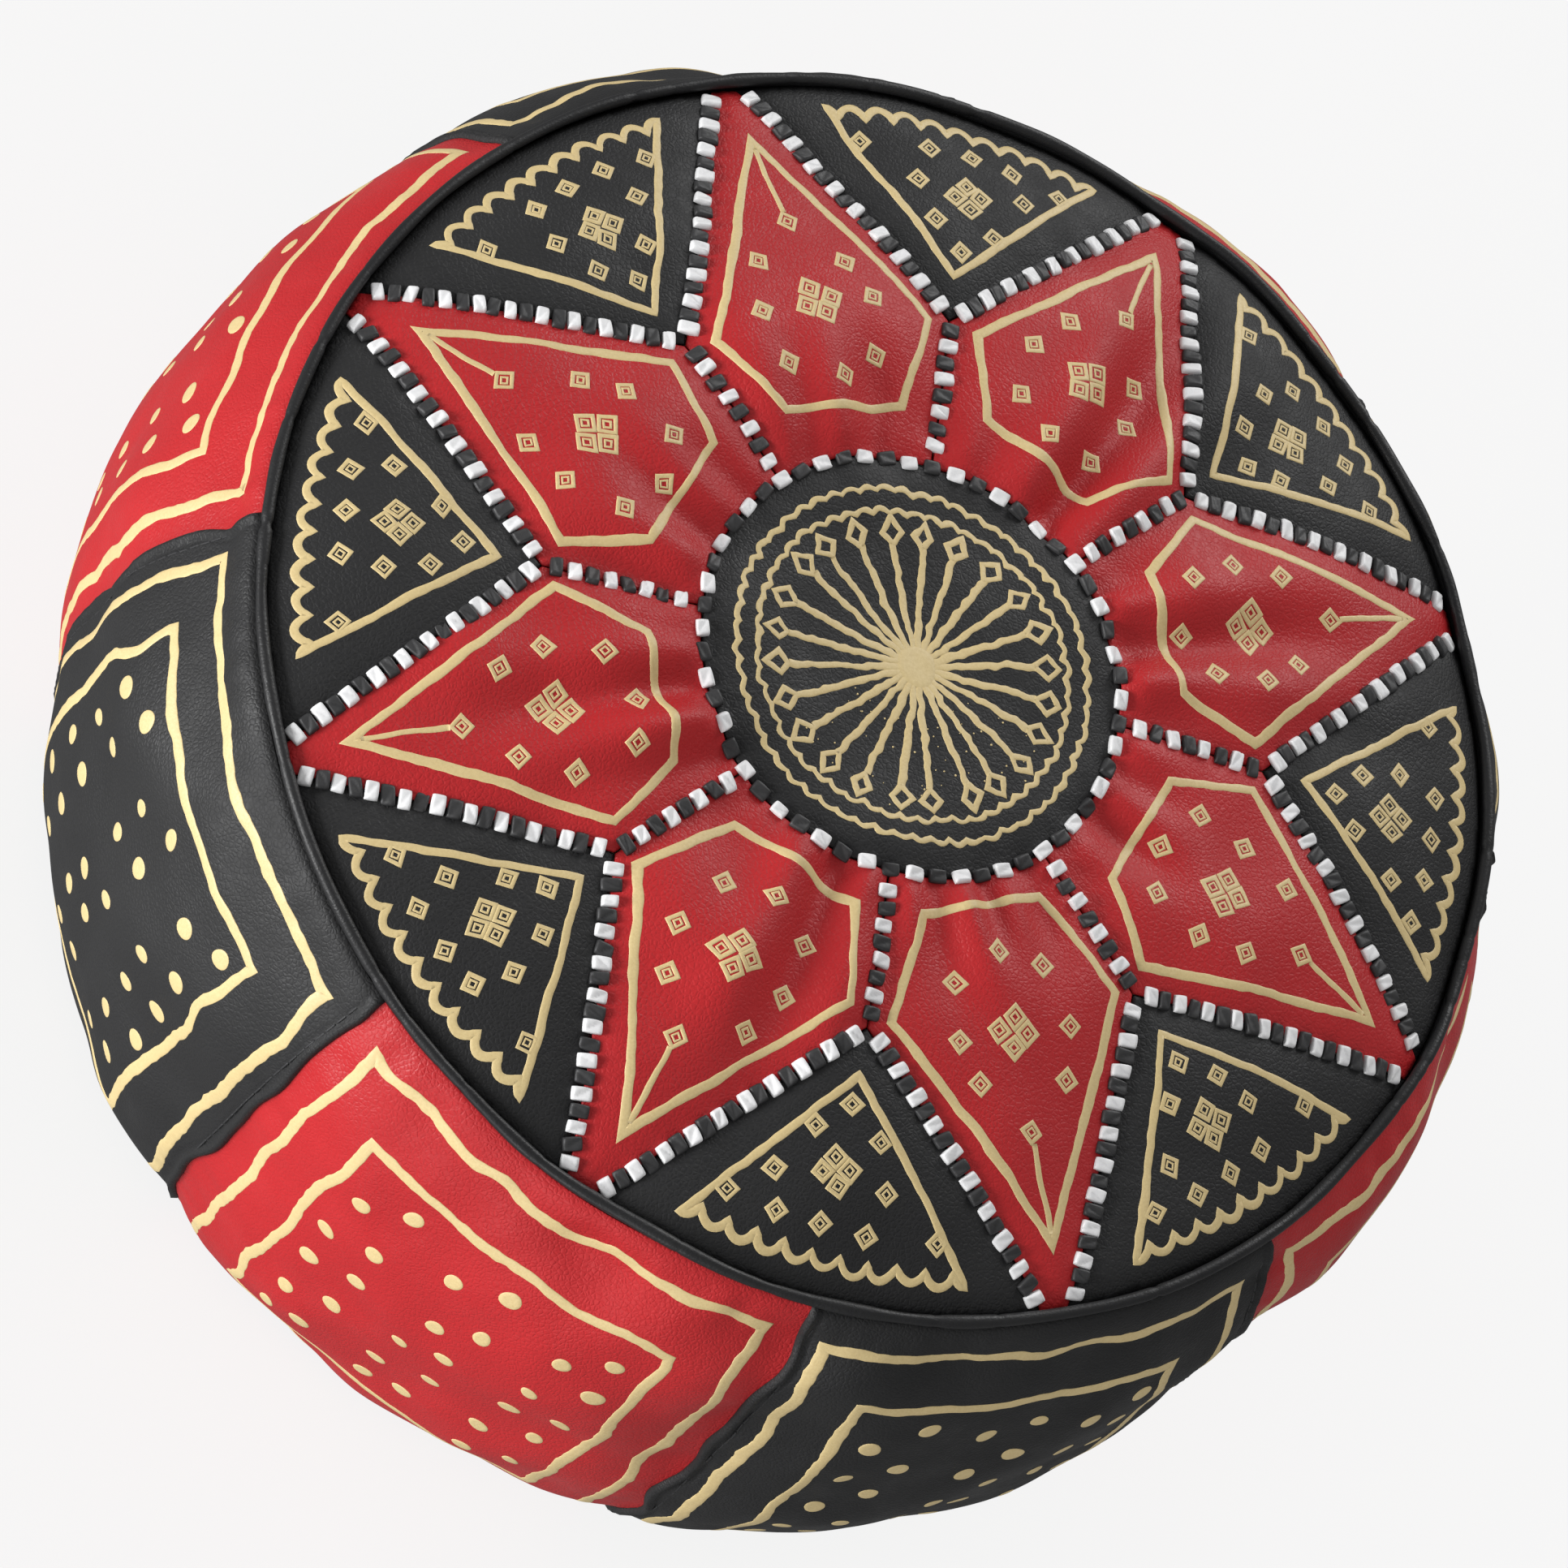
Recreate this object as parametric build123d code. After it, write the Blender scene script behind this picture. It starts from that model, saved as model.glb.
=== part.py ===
from build123d import *
import math
import os

# A round Moroccan leather pouf, sewn from goat leather and stuffed with cotton through a zip in its base.
# The top is a black medallion, eight red kite-shaped petals and eight black rim triangles, held together
# by white and black leather lace. Eight side panels, red and black in turn, stand between two piped seams.
# Origin: centre of the base on the floor. +Z is up, and petal 1 points along +X. Units: mm and degrees.

# ---- driving dimensions
PANELS = 8
SECTOR = 360 / PANELS
SEAM_R = 250.0  # both piped seams
TOP_SEAM_Z = 233.0
BASE_SEAM_Z = 5.6
DOME = 24.0  # how far the top rises above its seam
BELLY = 31.0  # how far the side swells past the seams
SWELL_FLAT = 2.26  # power that keeps the middle of the side flat
SWELL_FULL = 0.72  # power that keeps the side full next to its seams
LEATHER = 1.4
TURN_IN = 9.0  # seam allowance turned into the pouf
GAP = 0.3  # between neighbouring pieces of the top
CLOSE = 0.1  # between layers that are sewn together

MEDALLION_R = 85.2
JUNCTION_R = 148.2  # where two petals and a rim triangle meet
TIP_HALF_W = 5.0  # half the width of a petal where it reaches the seam

PIPE_R = 2.6
PIPE_CORD_R = 1.55
PIPE_FLANGE = 1.6  # the strip of leather, folded double
PIPE_LIFT = 2.95  # from the seam to the middle of its piping

LAP = 8.0  # how far a red side panel runs on under its black neighbours

BASE_RECESS = 10.0  # the middle of the base is drawn up by this, so that the zip clears the floor
BASE_FLAT_IN = 190.0
BASE_FLAT_OUT = 234.0
BASE_PLATEAU_R = 168.0
BASE_BEND = 6.0  # length in plan of each bend of the base
BEND_RISE = 0.18  # share of the recess that one bend takes up
CURL_RISE = 0.7  # how far the base has turned up one bend past its flat ring
CURL_END = 3.0  # the last stretch of the base, up to the seam

ZIP_LENGTH = 300.0  # the opening in the base
ZIP_SLOT_HALF = 6.6
SLOT_PAST = 10.0  # how far the slot runs on past the opening at each end
TAPE_PAST = 17.0
CHAIN_START = 8.0  # from the end of the opening to the first tooth
TAPE_OUT = 19.0
TAPE_IN = 1.3
TAPE_THICK = 0.8
TOOTH_PITCH = 4.0
TOOTH_REACH = 4.0  # from the middle of the chain to the back of a tooth
TOOTH_THICK = 3.0
TOOTH_W = 2.2
TOOTH_FRONT = 0.5
TOOTH_BACK = 3.9
HEAD_W = 1.5  # the part of a tooth that reaches into the other row
HEAD_THICK = 1.8
GRIP_BACK = 4.2  # the slit in a tooth for the tape runs back to here
GRIP_CLEAR = 0.04
STOP_W = 3.0
STOP_IN = 0.6
SLIDER_LENGTH = 16.0
SLIDER_HALF_W = 5.6
SLIDER_PLATE = 1.2
SLIDER_CORNER = 2.4
SLIDER_CLEAR = 0.3  # between the slider's plates and the teeth
SLIDER_PARK = 6.0  # from the closed slider to the end of the opening
LIP_CLEAR = 0.35
BRIDGE_BACK = 2.6  # from the slider's nose to the middle of its bridge
BRIDGE_LENGTH = 3.6
EYE_BACK = 2.0
EYE_LENGTH = 6.0
EYE_W = 3.0
EYE_R = 1.9  # from the pin's axis to the bottom of the eye
PIN_R = 0.82
PIN_CLEAR = 0.08
PIN_DROP = 2.2  # from the slider's lower plate to the pin's axis
ARM_IN = 1.75
ARM_OUT = 3.9
ARM_LENGTH = 9.0
ARM_BACK = 3.3  # from the pin to the middle of an arm
ARM_THICK = 1.6
BLADE_BACK = 6.0
BLADE_THICK = 1.4
PULL_LENGTH = 30.0
PULL_DROOP = 9.0  # the tab hangs this far below level, its end just off the floor

LINER = 0.8
LINER_CLEAR = 11.0  # from the leather's inner face, past the turned-in seams
BAG_TOP_ANGLE = 60  # the bag's wall ends here, where 90 is the top seam and -90 the base seam
BAG_BASE_ANGLE = -56

SEAM_GAP_R = PIPE_FLANGE / 2 + CLOSE
TOP_EDGE_R = SEAM_R - SEAM_GAP_R
SIDE_EDGE_R = SEAM_R + SEAM_GAP_R


def polar(radius, angle):
    return (radius * math.cos(math.radians(angle)), radius * math.sin(math.radians(angle)))


def top_z(radius):
    """Height of the top's outer face: nearly flat in the middle, falling away to the seam."""
    return TOP_SEAM_Z + DOME * (1 - (radius / SEAM_R) ** 4)


def side_point(share, inset):
    """A point (r, z) on the side's outer face, share running from -1 at the base seam to 1 at the top one."""
    middle = (TOP_SEAM_Z + BASE_SEAM_Z) / 2
    half = (TOP_SEAM_Z - BASE_SEAM_Z) / 2 - inset
    swell = BELLY - 2 * inset
    radius = SIDE_EDGE_R + inset + swell * (1 - abs(share) ** SWELL_FLAT) ** SWELL_FULL
    return (radius, middle + half * share)


def section(points):
    """A face in the XZ plane from closed runs of (r, z) points: two points make a line, more a spline."""
    runs = []
    for run in points:
        placed = [(r, 0, z) for r, z in run]
        runs.append(Line(*placed) if len(placed) == 2 else Spline(*placed))
    return make_face(Wire(runs))


def ring_of(face, angle=360.0, start=0.0):
    turned = revolve(face, axis=Axis.Z, revolution_arc=angle)
    return Rot(0, 0, start) * turned


def grid(low, high, count):
    return [low + (high - low) * i / (count - 1) for i in range(count)]


# ---- the top: one domed shell, cut into its pieces
def top_shell():
    """The dome with its edge turned down into the seam."""
    outer = [(r, top_z(r)) for r in grid(0, TOP_EDGE_R, 12)]
    inner_edge = TOP_EDGE_R - LEATHER
    inner = [(r, top_z(r) - LEATHER) for r in grid(inner_edge, 0, 12)]
    foot = outer[-1][1] - TURN_IN
    rim = [
        [outer[-1], (TOP_EDGE_R, foot)],
        [(TOP_EDGE_R, foot), (inner_edge, foot)],
        [(inner_edge, foot), inner[0]],
    ]
    return ring_of(section([outer, *rim, inner, [inner[-1], outer[0]]]))


def prism(outline):
    """The column that an outline in plan cuts from the top shell."""
    return extrude(Pos(0, 0, TOP_SEAM_Z - 2 * TURN_IN) * outline, DOME + 3 * TURN_IN)


def beyond(start, end, share):
    return tuple(a + (b - a) * share for a, b in zip(start, end))


def slit(start, end):
    """The gap along a straight seam in plan, run past both its ends."""
    run = math.hypot(end[0] - start[0], end[1] - start[1])
    middle = beyond(start, end, 0.5)
    heading = math.degrees(math.atan2(end[1] - start[1], end[0] - start[0]))
    return prism(Pos(*middle) * Rot(0, 0, heading) * Rectangle(1.5 * run, GAP))


def star_seams(turn):
    """The two edges of the petal at that turn, each a junction and a tip in plan."""
    half_tip = math.degrees(math.asin(TIP_HALF_W / SEAM_R))
    return [
        (polar(JUNCTION_R, turn + side * SECTOR / 2), polar(SEAM_R, turn + side * half_tip))
        for side in (-1, 1)
    ]


def petal_seam(turn):
    return polar(MEDALLION_R, turn), polar(JUNCTION_R, turn)


def top_pieces():
    shell = top_shell()
    (left, left_tip), (right, right_tip) = star_seams(0)
    left_end, right_end = beyond(left, left_tip, 1.1), beyond(right, right_tip, 1.1)
    kite = Polygon((0, 0), left, left_end, right_end, right, align=None)
    petal = shell & prism(kite - Circle(MEDALLION_R + GAP / 2))
    for start, end in [*star_seams(0), petal_seam(-SECTOR / 2), petal_seam(SECTOR / 2)]:
        petal -= slit(start, end)

    point, near_tip = star_seams(0)[1]
    far_tip = star_seams(SECTOR)[0][1]
    near_end, far_end = beyond(point, near_tip, 1.3), beyond(point, far_tip, 1.3)
    triangle = shell & prism(Polygon(point, near_end, far_end, align=None))
    triangle -= slit(point, near_tip) + slit(point, far_tip)

    pieces = {"centre_medallion": shell & prism(Circle(MEDALLION_R - GAP / 2))}
    for i in range(PANELS):
        pieces[f"star_petal_{i + 1}"] = Rot(0, 0, SECTOR * i) * petal
        pieces[f"rim_triangle_{i + 1}"] = Rot(0, 0, SECTOR * i) * triangle
    return pieces


# ---- the side: black panels lap over the edges of the red ones
def side_panel(inset, angle):
    """One panel with its turned-in seams, centred on +X and spanning that angle."""
    shares = [math.sin(math.radians(a)) for a in grid(90, -90, 17)]
    outer = [side_point(s, inset) for s in shares]
    inner = [side_point(s, inset + LEATHER) for s in reversed(shares)]
    top_foot = outer[0][1] - TURN_IN
    base_foot = outer[-1][1] + TURN_IN
    near, far = outer[0][0], inner[0][0]
    runs = [
        outer,
        [outer[-1], (near, base_foot)],
        [(near, base_foot), (far, base_foot)],
        [(far, base_foot), inner[0]],
        inner,
        [inner[-1], (far, top_foot)],
        [(far, top_foot), (near, top_foot)],
        [(near, top_foot), outer[0]],
    ]
    return ring_of(section(runs), angle, -angle / 2)


def side_pieces():
    lap_angle = math.degrees(LAP / (SEAM_R + BELLY))
    red = side_panel(LEATHER + CLOSE, SECTOR + 2 * lap_angle)
    black = side_panel(0.0, SECTOR)
    return {
        f"side_panel_{i + 1}": Rot(0, 0, SECTOR * i) * (black if i % 2 else red)
        for i in range(PANELS)
    }


# ---- piping: a cord in a folded strip whose flange is caught in the seam
def piping(seam_z, up):
    """The strip and the cord of one seam; up is 1 where the piping stands above its seam, -1 below."""
    centre_z = seam_z + up * PIPE_LIFT
    foot = seam_z - up * (TURN_IN + 1.0)
    reach = abs(centre_z - foot)
    flange = Pos(0, -up * reach / 2) * Rectangle(PIPE_FLANGE, reach)
    strip = Circle(PIPE_R) + flange - Circle(PIPE_CORD_R + 0.05)
    placed = Plane(origin=(SEAM_R, 0, centre_z), x_dir=(1, 0, 0), z_dir=(0, -1, 0))
    cord = Pos(0, 0, centre_z) * Torus(SEAM_R, PIPE_CORD_R)
    return ring_of(placed * strip), cord


# ---- the base: two halves either side of the zip
def base_face():
    """Section of the base shell: plateau, slope, flat ring, and the edge that turns up into the seam."""
    def layer(lift):
        edge = TOP_EDGE_R - lift
        slope = [
            (BASE_PLATEAU_R, BASE_RECESS + lift),
            (BASE_PLATEAU_R + BASE_BEND, BASE_RECESS * (1 - BEND_RISE) + lift),
            (BASE_FLAT_IN - BASE_BEND, BASE_RECESS * BEND_RISE + lift),
            (BASE_FLAT_IN, lift),
        ]
        curl = [
            (BASE_FLAT_OUT, lift),
            (BASE_FLAT_OUT + BASE_BEND, CURL_RISE + lift),
            (edge - CURL_END, CURL_END + lift),
            (edge, BASE_SEAM_Z + lift),
        ]
        return slope, curl

    slope, curl = layer(0.0)
    upper_slope, upper_curl = layer(LEATHER)
    head = BASE_SEAM_Z + TURN_IN
    runs = [
        [(0, BASE_RECESS), slope[0]],
        slope,
        [slope[-1], curl[0]],
        curl,
        [curl[-1], (TOP_EDGE_R, head)],
        [(TOP_EDGE_R, head), (TOP_EDGE_R - LEATHER, head)],
        [(TOP_EDGE_R - LEATHER, head), upper_curl[-1]],
        upper_curl[::-1],
        [upper_curl[0], upper_slope[-1]],
        upper_slope[::-1],
        [upper_slope[0], (0, BASE_RECESS + LEATHER)],
        [(0, BASE_RECESS + LEATHER), (0, BASE_RECESS)],
    ]
    return section(runs)


def base_pieces():
    half = ring_of(base_face(), 180, 0)
    half -= Pos(0, 0, BASE_RECESS) * Box(ZIP_LENGTH + 2 * SLOT_PAST, 2 * ZIP_SLOT_HALF, 6 * LEATHER)
    half -= Pos(0, 0, BASE_RECESS) * Box(3 * SEAM_R, GAP, 6 * BASE_RECESS)
    return {"base_panel_rear": half, "base_panel_front": Rot(0, 0, 180) * half}


# ---- the zip, along X in the middle of the base; it closes towards +X
TAPE_Z = BASE_RECESS + LEATHER + CLOSE
CHAIN_Z = TAPE_Z + TAPE_THICK / 2
SLIDER_X = ZIP_LENGTH / 2 - SLIDER_LENGTH / 2 - SLIDER_PARK
SLIDER_GAP = TOOTH_THICK / 2 + SLIDER_CLEAR
PULL_X = SLIDER_X - EYE_BACK
PULL_Z = CHAIN_Z - SLIDER_GAP - SLIDER_PLATE - PIN_DROP


def zip_tapes():
    tape = Pos(0, TAPE_IN, TAPE_Z) * Box(
        ZIP_LENGTH + 2 * TAPE_PAST, TAPE_OUT - TAPE_IN, TAPE_THICK, align=(Align.CENTER, Align.MIN, Align.MIN)
    )
    return {"zip_tape_rear": tape, "zip_tape_front": Rot(0, 0, 180) * tape}


def tooth():
    """One tooth: legs that grip the tape's edge and a narrow head that reaches into the other row."""
    head = Box(HEAD_W, 2 * TAPE_IN - CLOSE, HEAD_THICK)
    body = Pos(0, (TOOTH_FRONT + TOOTH_BACK) / 2, 0) * Box(TOOTH_W, TOOTH_BACK - TOOTH_FRONT, TOOTH_THICK)
    grip = Box(TOOTH_PITCH, GRIP_BACK - TAPE_IN, TAPE_THICK + GRIP_CLEAR)
    grip = Pos(0, (TAPE_IN + GRIP_BACK) / 2, 0) * grip
    return (head + body) - grip


def zip_teeth():
    start = -ZIP_LENGTH / 2 + CHAIN_START
    count = int((SLIDER_X - SLIDER_LENGTH / 2 - start) / TOOTH_PITCH)
    rows = {"zip_teeth_rear": (0, 0.0), "zip_teeth_front": (180, TOOTH_PITCH / 2)}
    made = {}
    for name, (turn, shift) in rows.items():
        one = Rot(0, 0, turn) * tooth()
        made[name] = Compound([Pos(start + shift + TOOTH_PITCH * i, 0, CHAIN_Z) * one for i in range(count)])
    return made


def zip_stops():
    """A stop on each tape past the slider, and one across both tapes at the other end."""
    upper = Pos(SLIDER_X + SLIDER_LENGTH / 2 + STOP_W - 0.4, STOP_IN, 0) * Box(
        STOP_W, TOOTH_REACH, TOOTH_THICK, align=(Align.CENTER, Align.MIN, Align.CENTER)
    )
    lower = Pos(-ZIP_LENGTH / 2 + 1, 0, 0) * Box(STOP_W + 2, 2 * TOOTH_REACH, TOOTH_THICK)
    tapes = Box(2 * ZIP_LENGTH, 2 * TOOTH_REACH + 1.4, TAPE_THICK + GRIP_CLEAR)
    tapes -= Box(2 * ZIP_LENGTH, 2 * TAPE_IN, TOOTH_THICK)
    pads = [pad - tapes for pad in (upper, mirror(upper, Plane.XZ), lower)]
    return {"zip_stops": Compound([Pos(0, 0, CHAIN_Z) * pad for pad in pads])}


def zip_slider():
    """Two plates round the chain, joined by a bridge ahead of the meshed teeth, with an eye for the pull."""
    outline = RectangleRounded(SLIDER_LENGTH, 2 * SLIDER_HALF_W, SLIDER_CORNER)
    tape_clear = 0.25
    lip_h = SLIDER_GAP - TAPE_THICK / 2 - tape_clear
    lower = Pos(0, 0, -SLIDER_GAP - SLIDER_PLATE) * extrude(outline, SLIDER_PLATE)
    lip_gap = Rectangle(SLIDER_LENGTH, 2 * (TOOTH_REACH + LIP_CLEAR))
    lips = Pos(0, 0, -SLIDER_GAP) * extrude(outline - lip_gap, lip_h)
    half = lower + lips
    bridge = Box(BRIDGE_LENGTH, 2 * (TAPE_IN - tape_clear), 2 * SLIDER_GAP + 2 * CLOSE)
    bridge = Pos(SLIDER_LENGTH / 2 - BRIDGE_BACK, 0, 0) * bridge
    body = half + mirror(half, Plane.XY) + bridge
    body = Pos(SLIDER_X, 0, CHAIN_Z) * body
    eye_h = PIN_DROP + EYE_R + CLOSE
    eye = Box(EYE_LENGTH, EYE_W, eye_h, align=(Align.CENTER, Align.CENTER, Align.MIN))
    eye = fillet(eye.edges().filter_by(Axis.Y).sort_by(Axis.Z)[:2], EYE_W / 2)
    eye = Pos(PULL_X, 0, PULL_Z - EYE_R) * eye
    bore = Pos(PULL_X, 0, PULL_Z) * Rot(90, 0, 0) * Cylinder(PIN_R + PIN_CLEAR, 2 * SLIDER_HALF_W)
    return {"zip_slider": body + eye - bore}


def zip_pull():
    """The tab points back along the chain, and turns on a pin through the slider's eye."""
    pin = Rot(90, 0, 0) * Cylinder(PIN_R, 2 * ARM_OUT)
    side_view = RectangleRounded(ARM_LENGTH, ARM_THICK, ARM_THICK / 2 - 0.05)
    arm = extrude(Plane.XZ * Pos(-ARM_BACK, 0) * side_view, ARM_OUT - ARM_IN)
    arms = Pos(0, ARM_OUT, 0) * arm + Pos(0, -ARM_IN, 0) * arm
    blade_length = PULL_LENGTH - BLADE_BACK
    plan = RectangleRounded(blade_length, 2 * ARM_OUT + 1, SLIDER_CORNER - 0.2)
    blade = Pos(-blade_length / 2 - BLADE_BACK, 0, -BLADE_THICK / 2) * extrude(plan, BLADE_THICK)
    return {"zip_pull_tab": Pos(PULL_X, 0, PULL_Z) * Rot(0, -PULL_DROOP, 0) * (pin + arms + blade)}


# ---- lace and thread: each stitch is a closed loop through the pieces it joins
def loop(width, reach, strand, depth):
    """A bar along Y on the face at z 0, legs of that depth at its ends, and a bar behind."""
    high, low = strand, -depth - strand
    outer = Pos(0, 0, (high + low) / 2) * Box(width, reach, high - low)
    void = Pos(0, 0, (CLOSE / 2 - depth) / 2) * Box(2 * width, reach - 2 * strand, depth + CLOSE / 2)
    return outer - void


def on_top(x, y, heading):
    """The frame of a stitch at a plan point of the top, its X along the seam's heading."""
    radius = math.hypot(x, y)
    slope = -4 * DOME / SEAM_R * (radius / SEAM_R) ** 3
    normal = Vector(-slope * x / radius, -slope * y / radius, 1).normalized()
    along = Vector(*polar(1, heading), 0)
    along = (along - normal * along.dot(normal)).normalized()
    return Plane(origin=(x, y, top_z(radius)), x_dir=along, z_dir=normal).location


LACE = 1.1
LACE_DEPTH = LEATHER + CLOSE
STITCH_W = 5.2
STITCH_REACH = 7.4  # across the star's and the petals' seams
RING_STITCH_W = 6.6
RING_STITCH_REACH = 5.6
STAR_STITCHES = 19
PETAL_STITCHES = 8
CENTRE_STITCHES = 56
STAR_RUN = (0.055, 0.935)  # where the stitches of a seam start and end, as shares of its length
PETAL_RUN = (0.14, 0.92)


def seam_frames(start, end, count, first, last):
    """Frames of count stitches spread along a straight seam in plan, from share first to share last."""
    heading = math.degrees(math.atan2(end[1] - start[1], end[0] - start[0]))
    return [on_top(*beyond(start, end, s), heading) for s in grid(first, last, count)]


def lacing():
    straight = loop(STITCH_W, STITCH_REACH, LACE, LACE_DEPTH)
    round_centre = loop(RING_STITCH_W, RING_STITCH_REACH, LACE, LACE_DEPTH)
    star, petal = [], []
    for i in range(PANELS):
        for junction, tip in star_seams(SECTOR * i):
            frames = seam_frames(junction, tip, STAR_STITCHES, *STAR_RUN)
            star.append([f * straight for f in frames])
        frames = seam_frames(*petal_seam(SECTOR * (i + 0.5)), PETAL_STITCHES, *PETAL_RUN)
        petal.append([f * straight for f in frames])
    centre = []
    for i in range(CENTRE_STITCHES):
        angle = 360 / CENTRE_STITCHES * (i + 0.5)
        centre.append(on_top(*polar(MEDALLION_R, angle), angle + 90) * round_centre)
    groups = {"star": star, "petal": petal, "centre": [centre]}
    return {
        f"{name}_lacing_{colour}": Compound([s for run in runs for s in run[first::2]])
        for name, runs in groups.items()
        for colour, first in (("white", 0), ("black", 1))
    }


THREAD = 0.45
STITCH_LONG = 3.6
SIDE_STITCHES = 36
SIDE_STITCH_IN = 3.5  # from the edge of a black panel
SIDE_STITCH_RUN = 0.92
ZIP_STITCHES = 60
ZIP_STITCH_IN = 3.0  # from the edge of the slot
ZIP_STITCH_PAST = 7.0


def side_thread():
    """One line of stitches up each side seam, along the black panel's edge."""
    stitch = loop(THREAD, STITCH_LONG, THREAD, 2 * LEATHER + CLOSE)
    in_from_edge = math.degrees(SIDE_STITCH_IN / (SEAM_R + BELLY))
    made = []
    for i in range(1, PANELS, 2):
        for side in (-1, 1):
            azimuth = SECTOR * i + side * (SECTOR / 2 - in_from_edge)
            for share in grid(-SIDE_STITCH_RUN, SIDE_STITCH_RUN, SIDE_STITCHES):
                radius, z = side_point(share, 0)
                ahead, ahead_z = side_point(share + 0.005, 0)
                climb = Vector(ahead - radius, 0, ahead_z - z).normalized()
                outward = Vector(climb.Z, 0, -climb.X)
                spot = Plane(origin=(radius, 0, z), x_dir=(0, -1, 0), z_dir=outward).location
                made.append(Rot(0, 0, azimuth) * spot * stitch)
    return Compound(made)


def zip_thread():
    """A row of stitches each side of the slot, through the base leather and the tape."""
    stitch = Rot(180, 0, 90) * loop(THREAD, STITCH_LONG, THREAD, LEATHER + TAPE_THICK + 2 * CLOSE)
    half = ZIP_LENGTH / 2 + ZIP_STITCH_PAST
    made = []
    for x in grid(-half, half, ZIP_STITCHES):
        for side in (-1, 1):
            made.append(Pos(x, side * (ZIP_SLOT_HALF + ZIP_STITCH_IN), BASE_RECESS) * stitch)
    return Compound(made)


# ---- the inside: a sewn cotton bag and its filling
def inner_profile(clear):
    """The (r, z) outline of a body that stays that far inside the leather."""
    top_r = SEAM_R - 1.6 * clear
    roof = [(r, top_z(r) - clear) for r in grid(0, top_r, 8)]
    shares = [math.sin(math.radians(a)) for a in grid(BAG_TOP_ANGLE, BAG_BASE_ANGLE, 11)]
    wall = [(r - clear, z) for r, z in (side_point(s, 0) for s in shares)]
    floor_z = BASE_RECESS + clear
    return roof, wall, floor_z


def bag_body(clear):
    """A closed solid of revolution: roof, bulging wall and flat floor."""
    roof, wall, floor_z = inner_profile(clear)
    floor_r = BASE_FLAT_OUT - clear
    runs = [
        roof,
        [roof[-1], wall[0]],
        wall,
        [wall[-1], (floor_r, floor_z)],
        [(floor_r, floor_z), (0, floor_z)],
        [(0, floor_z), roof[0]],
    ]
    return ring_of(section(runs))


def inside():
    """The bag's roof, wall and floor are cut from one shell along its two seams."""
    outer = bag_body(LINER_CLEAR)
    filling = bag_body(LINER_CLEAR + LINER + CLOSE)
    shell = outer - bag_body(LINER_CLEAR + LINER)
    _, wall, _ = inner_profile(LINER_CLEAR)
    high, low = wall[0][1], wall[-1][1]
    slab = Box(3 * SEAM_R, 3 * SEAM_R, high - low, align=(Align.CENTER, Align.CENTER, Align.MIN))
    middle = Pos(0, 0, low) * slab
    above = Pos(0, 0, high + GAP) * slab
    below = Pos(0, 0, low - GAP - (high - low)) * slab
    return {
        "liner_top": shell & above,
        "liner_wall": shell & middle,
        "liner_base": shell & below,
        "cotton_stuffing": filling,
    }


def build():
    parts = {}
    parts.update(top_pieces())
    parts.update(side_pieces())
    parts["top_piping_cover"], parts["top_piping_cord"] = piping(TOP_SEAM_Z, 1)
    parts["base_piping_cover"], parts["base_piping_cord"] = piping(BASE_SEAM_Z, -1)
    parts.update(base_pieces())
    parts.update(zip_tapes())
    parts.update(zip_teeth())
    parts.update(zip_stops())
    parts.update(zip_slider())
    parts.update(zip_pull())
    parts.update(lacing())
    parts["side_seam_thread"] = side_thread()
    parts["zip_seam_thread"] = zip_thread()
    parts.update(inside())
    return parts


os.makedirs("parts", exist_ok=True)
for node, shape in build().items():
    export_step(shape, f"parts/{node}.step")
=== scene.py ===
import math

import bpy
import numpy as np
from mathutils import Matrix, Vector, geometry


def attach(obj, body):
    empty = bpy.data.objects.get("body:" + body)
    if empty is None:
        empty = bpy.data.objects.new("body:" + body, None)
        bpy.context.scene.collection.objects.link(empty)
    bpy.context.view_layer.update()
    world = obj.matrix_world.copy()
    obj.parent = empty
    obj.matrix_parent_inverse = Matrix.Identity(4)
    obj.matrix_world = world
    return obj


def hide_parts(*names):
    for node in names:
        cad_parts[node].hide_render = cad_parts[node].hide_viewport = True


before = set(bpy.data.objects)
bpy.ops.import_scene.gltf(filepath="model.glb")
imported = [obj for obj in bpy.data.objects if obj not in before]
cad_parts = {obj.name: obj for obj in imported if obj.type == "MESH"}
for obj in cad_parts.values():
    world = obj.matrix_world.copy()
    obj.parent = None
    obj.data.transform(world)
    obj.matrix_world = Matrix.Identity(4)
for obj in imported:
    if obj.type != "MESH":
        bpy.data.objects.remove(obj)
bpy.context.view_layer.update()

# All shapes are worked out in millimetres and written to meshes in metres.
MM = 0.001
TURN = 2 * math.pi
PANELS = 8
SECTOR = math.radians(45)
SEAM_R = 250.0
TOP_SEAM_Z = 233.0
BASE_SEAM_Z = 5.6
DOME = 24.0
BELLY = 31.0
MEDALLION_R = 85.2
JUNCTION_R = 148.2
TIP_HALF_W = 5.0
PIPE_R = 2.6
PIPE_CORD_R = 1.5
PIPE_LIFT = 2.95
RIM_R = 248.6
LEATHER = 1.3
SIDE_ROUND = 281.0  # the radius at which the side's plans are laid out
RED_LAP = 7.0  # how far the red side panels run under the black ones
BLACK_LIFT, RED_LIFT = 0.75, -0.2  # how far the side panels lie above the side's surface
SIDE_STITCH_IN, SIDE_STITCH_STEP = 4.6, 6.1
STAR_STITCHES = 19
PETAL_STITCHES = 8
CENTRE_STITCHES = 56
SIDE_STITCHES = 36


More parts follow.
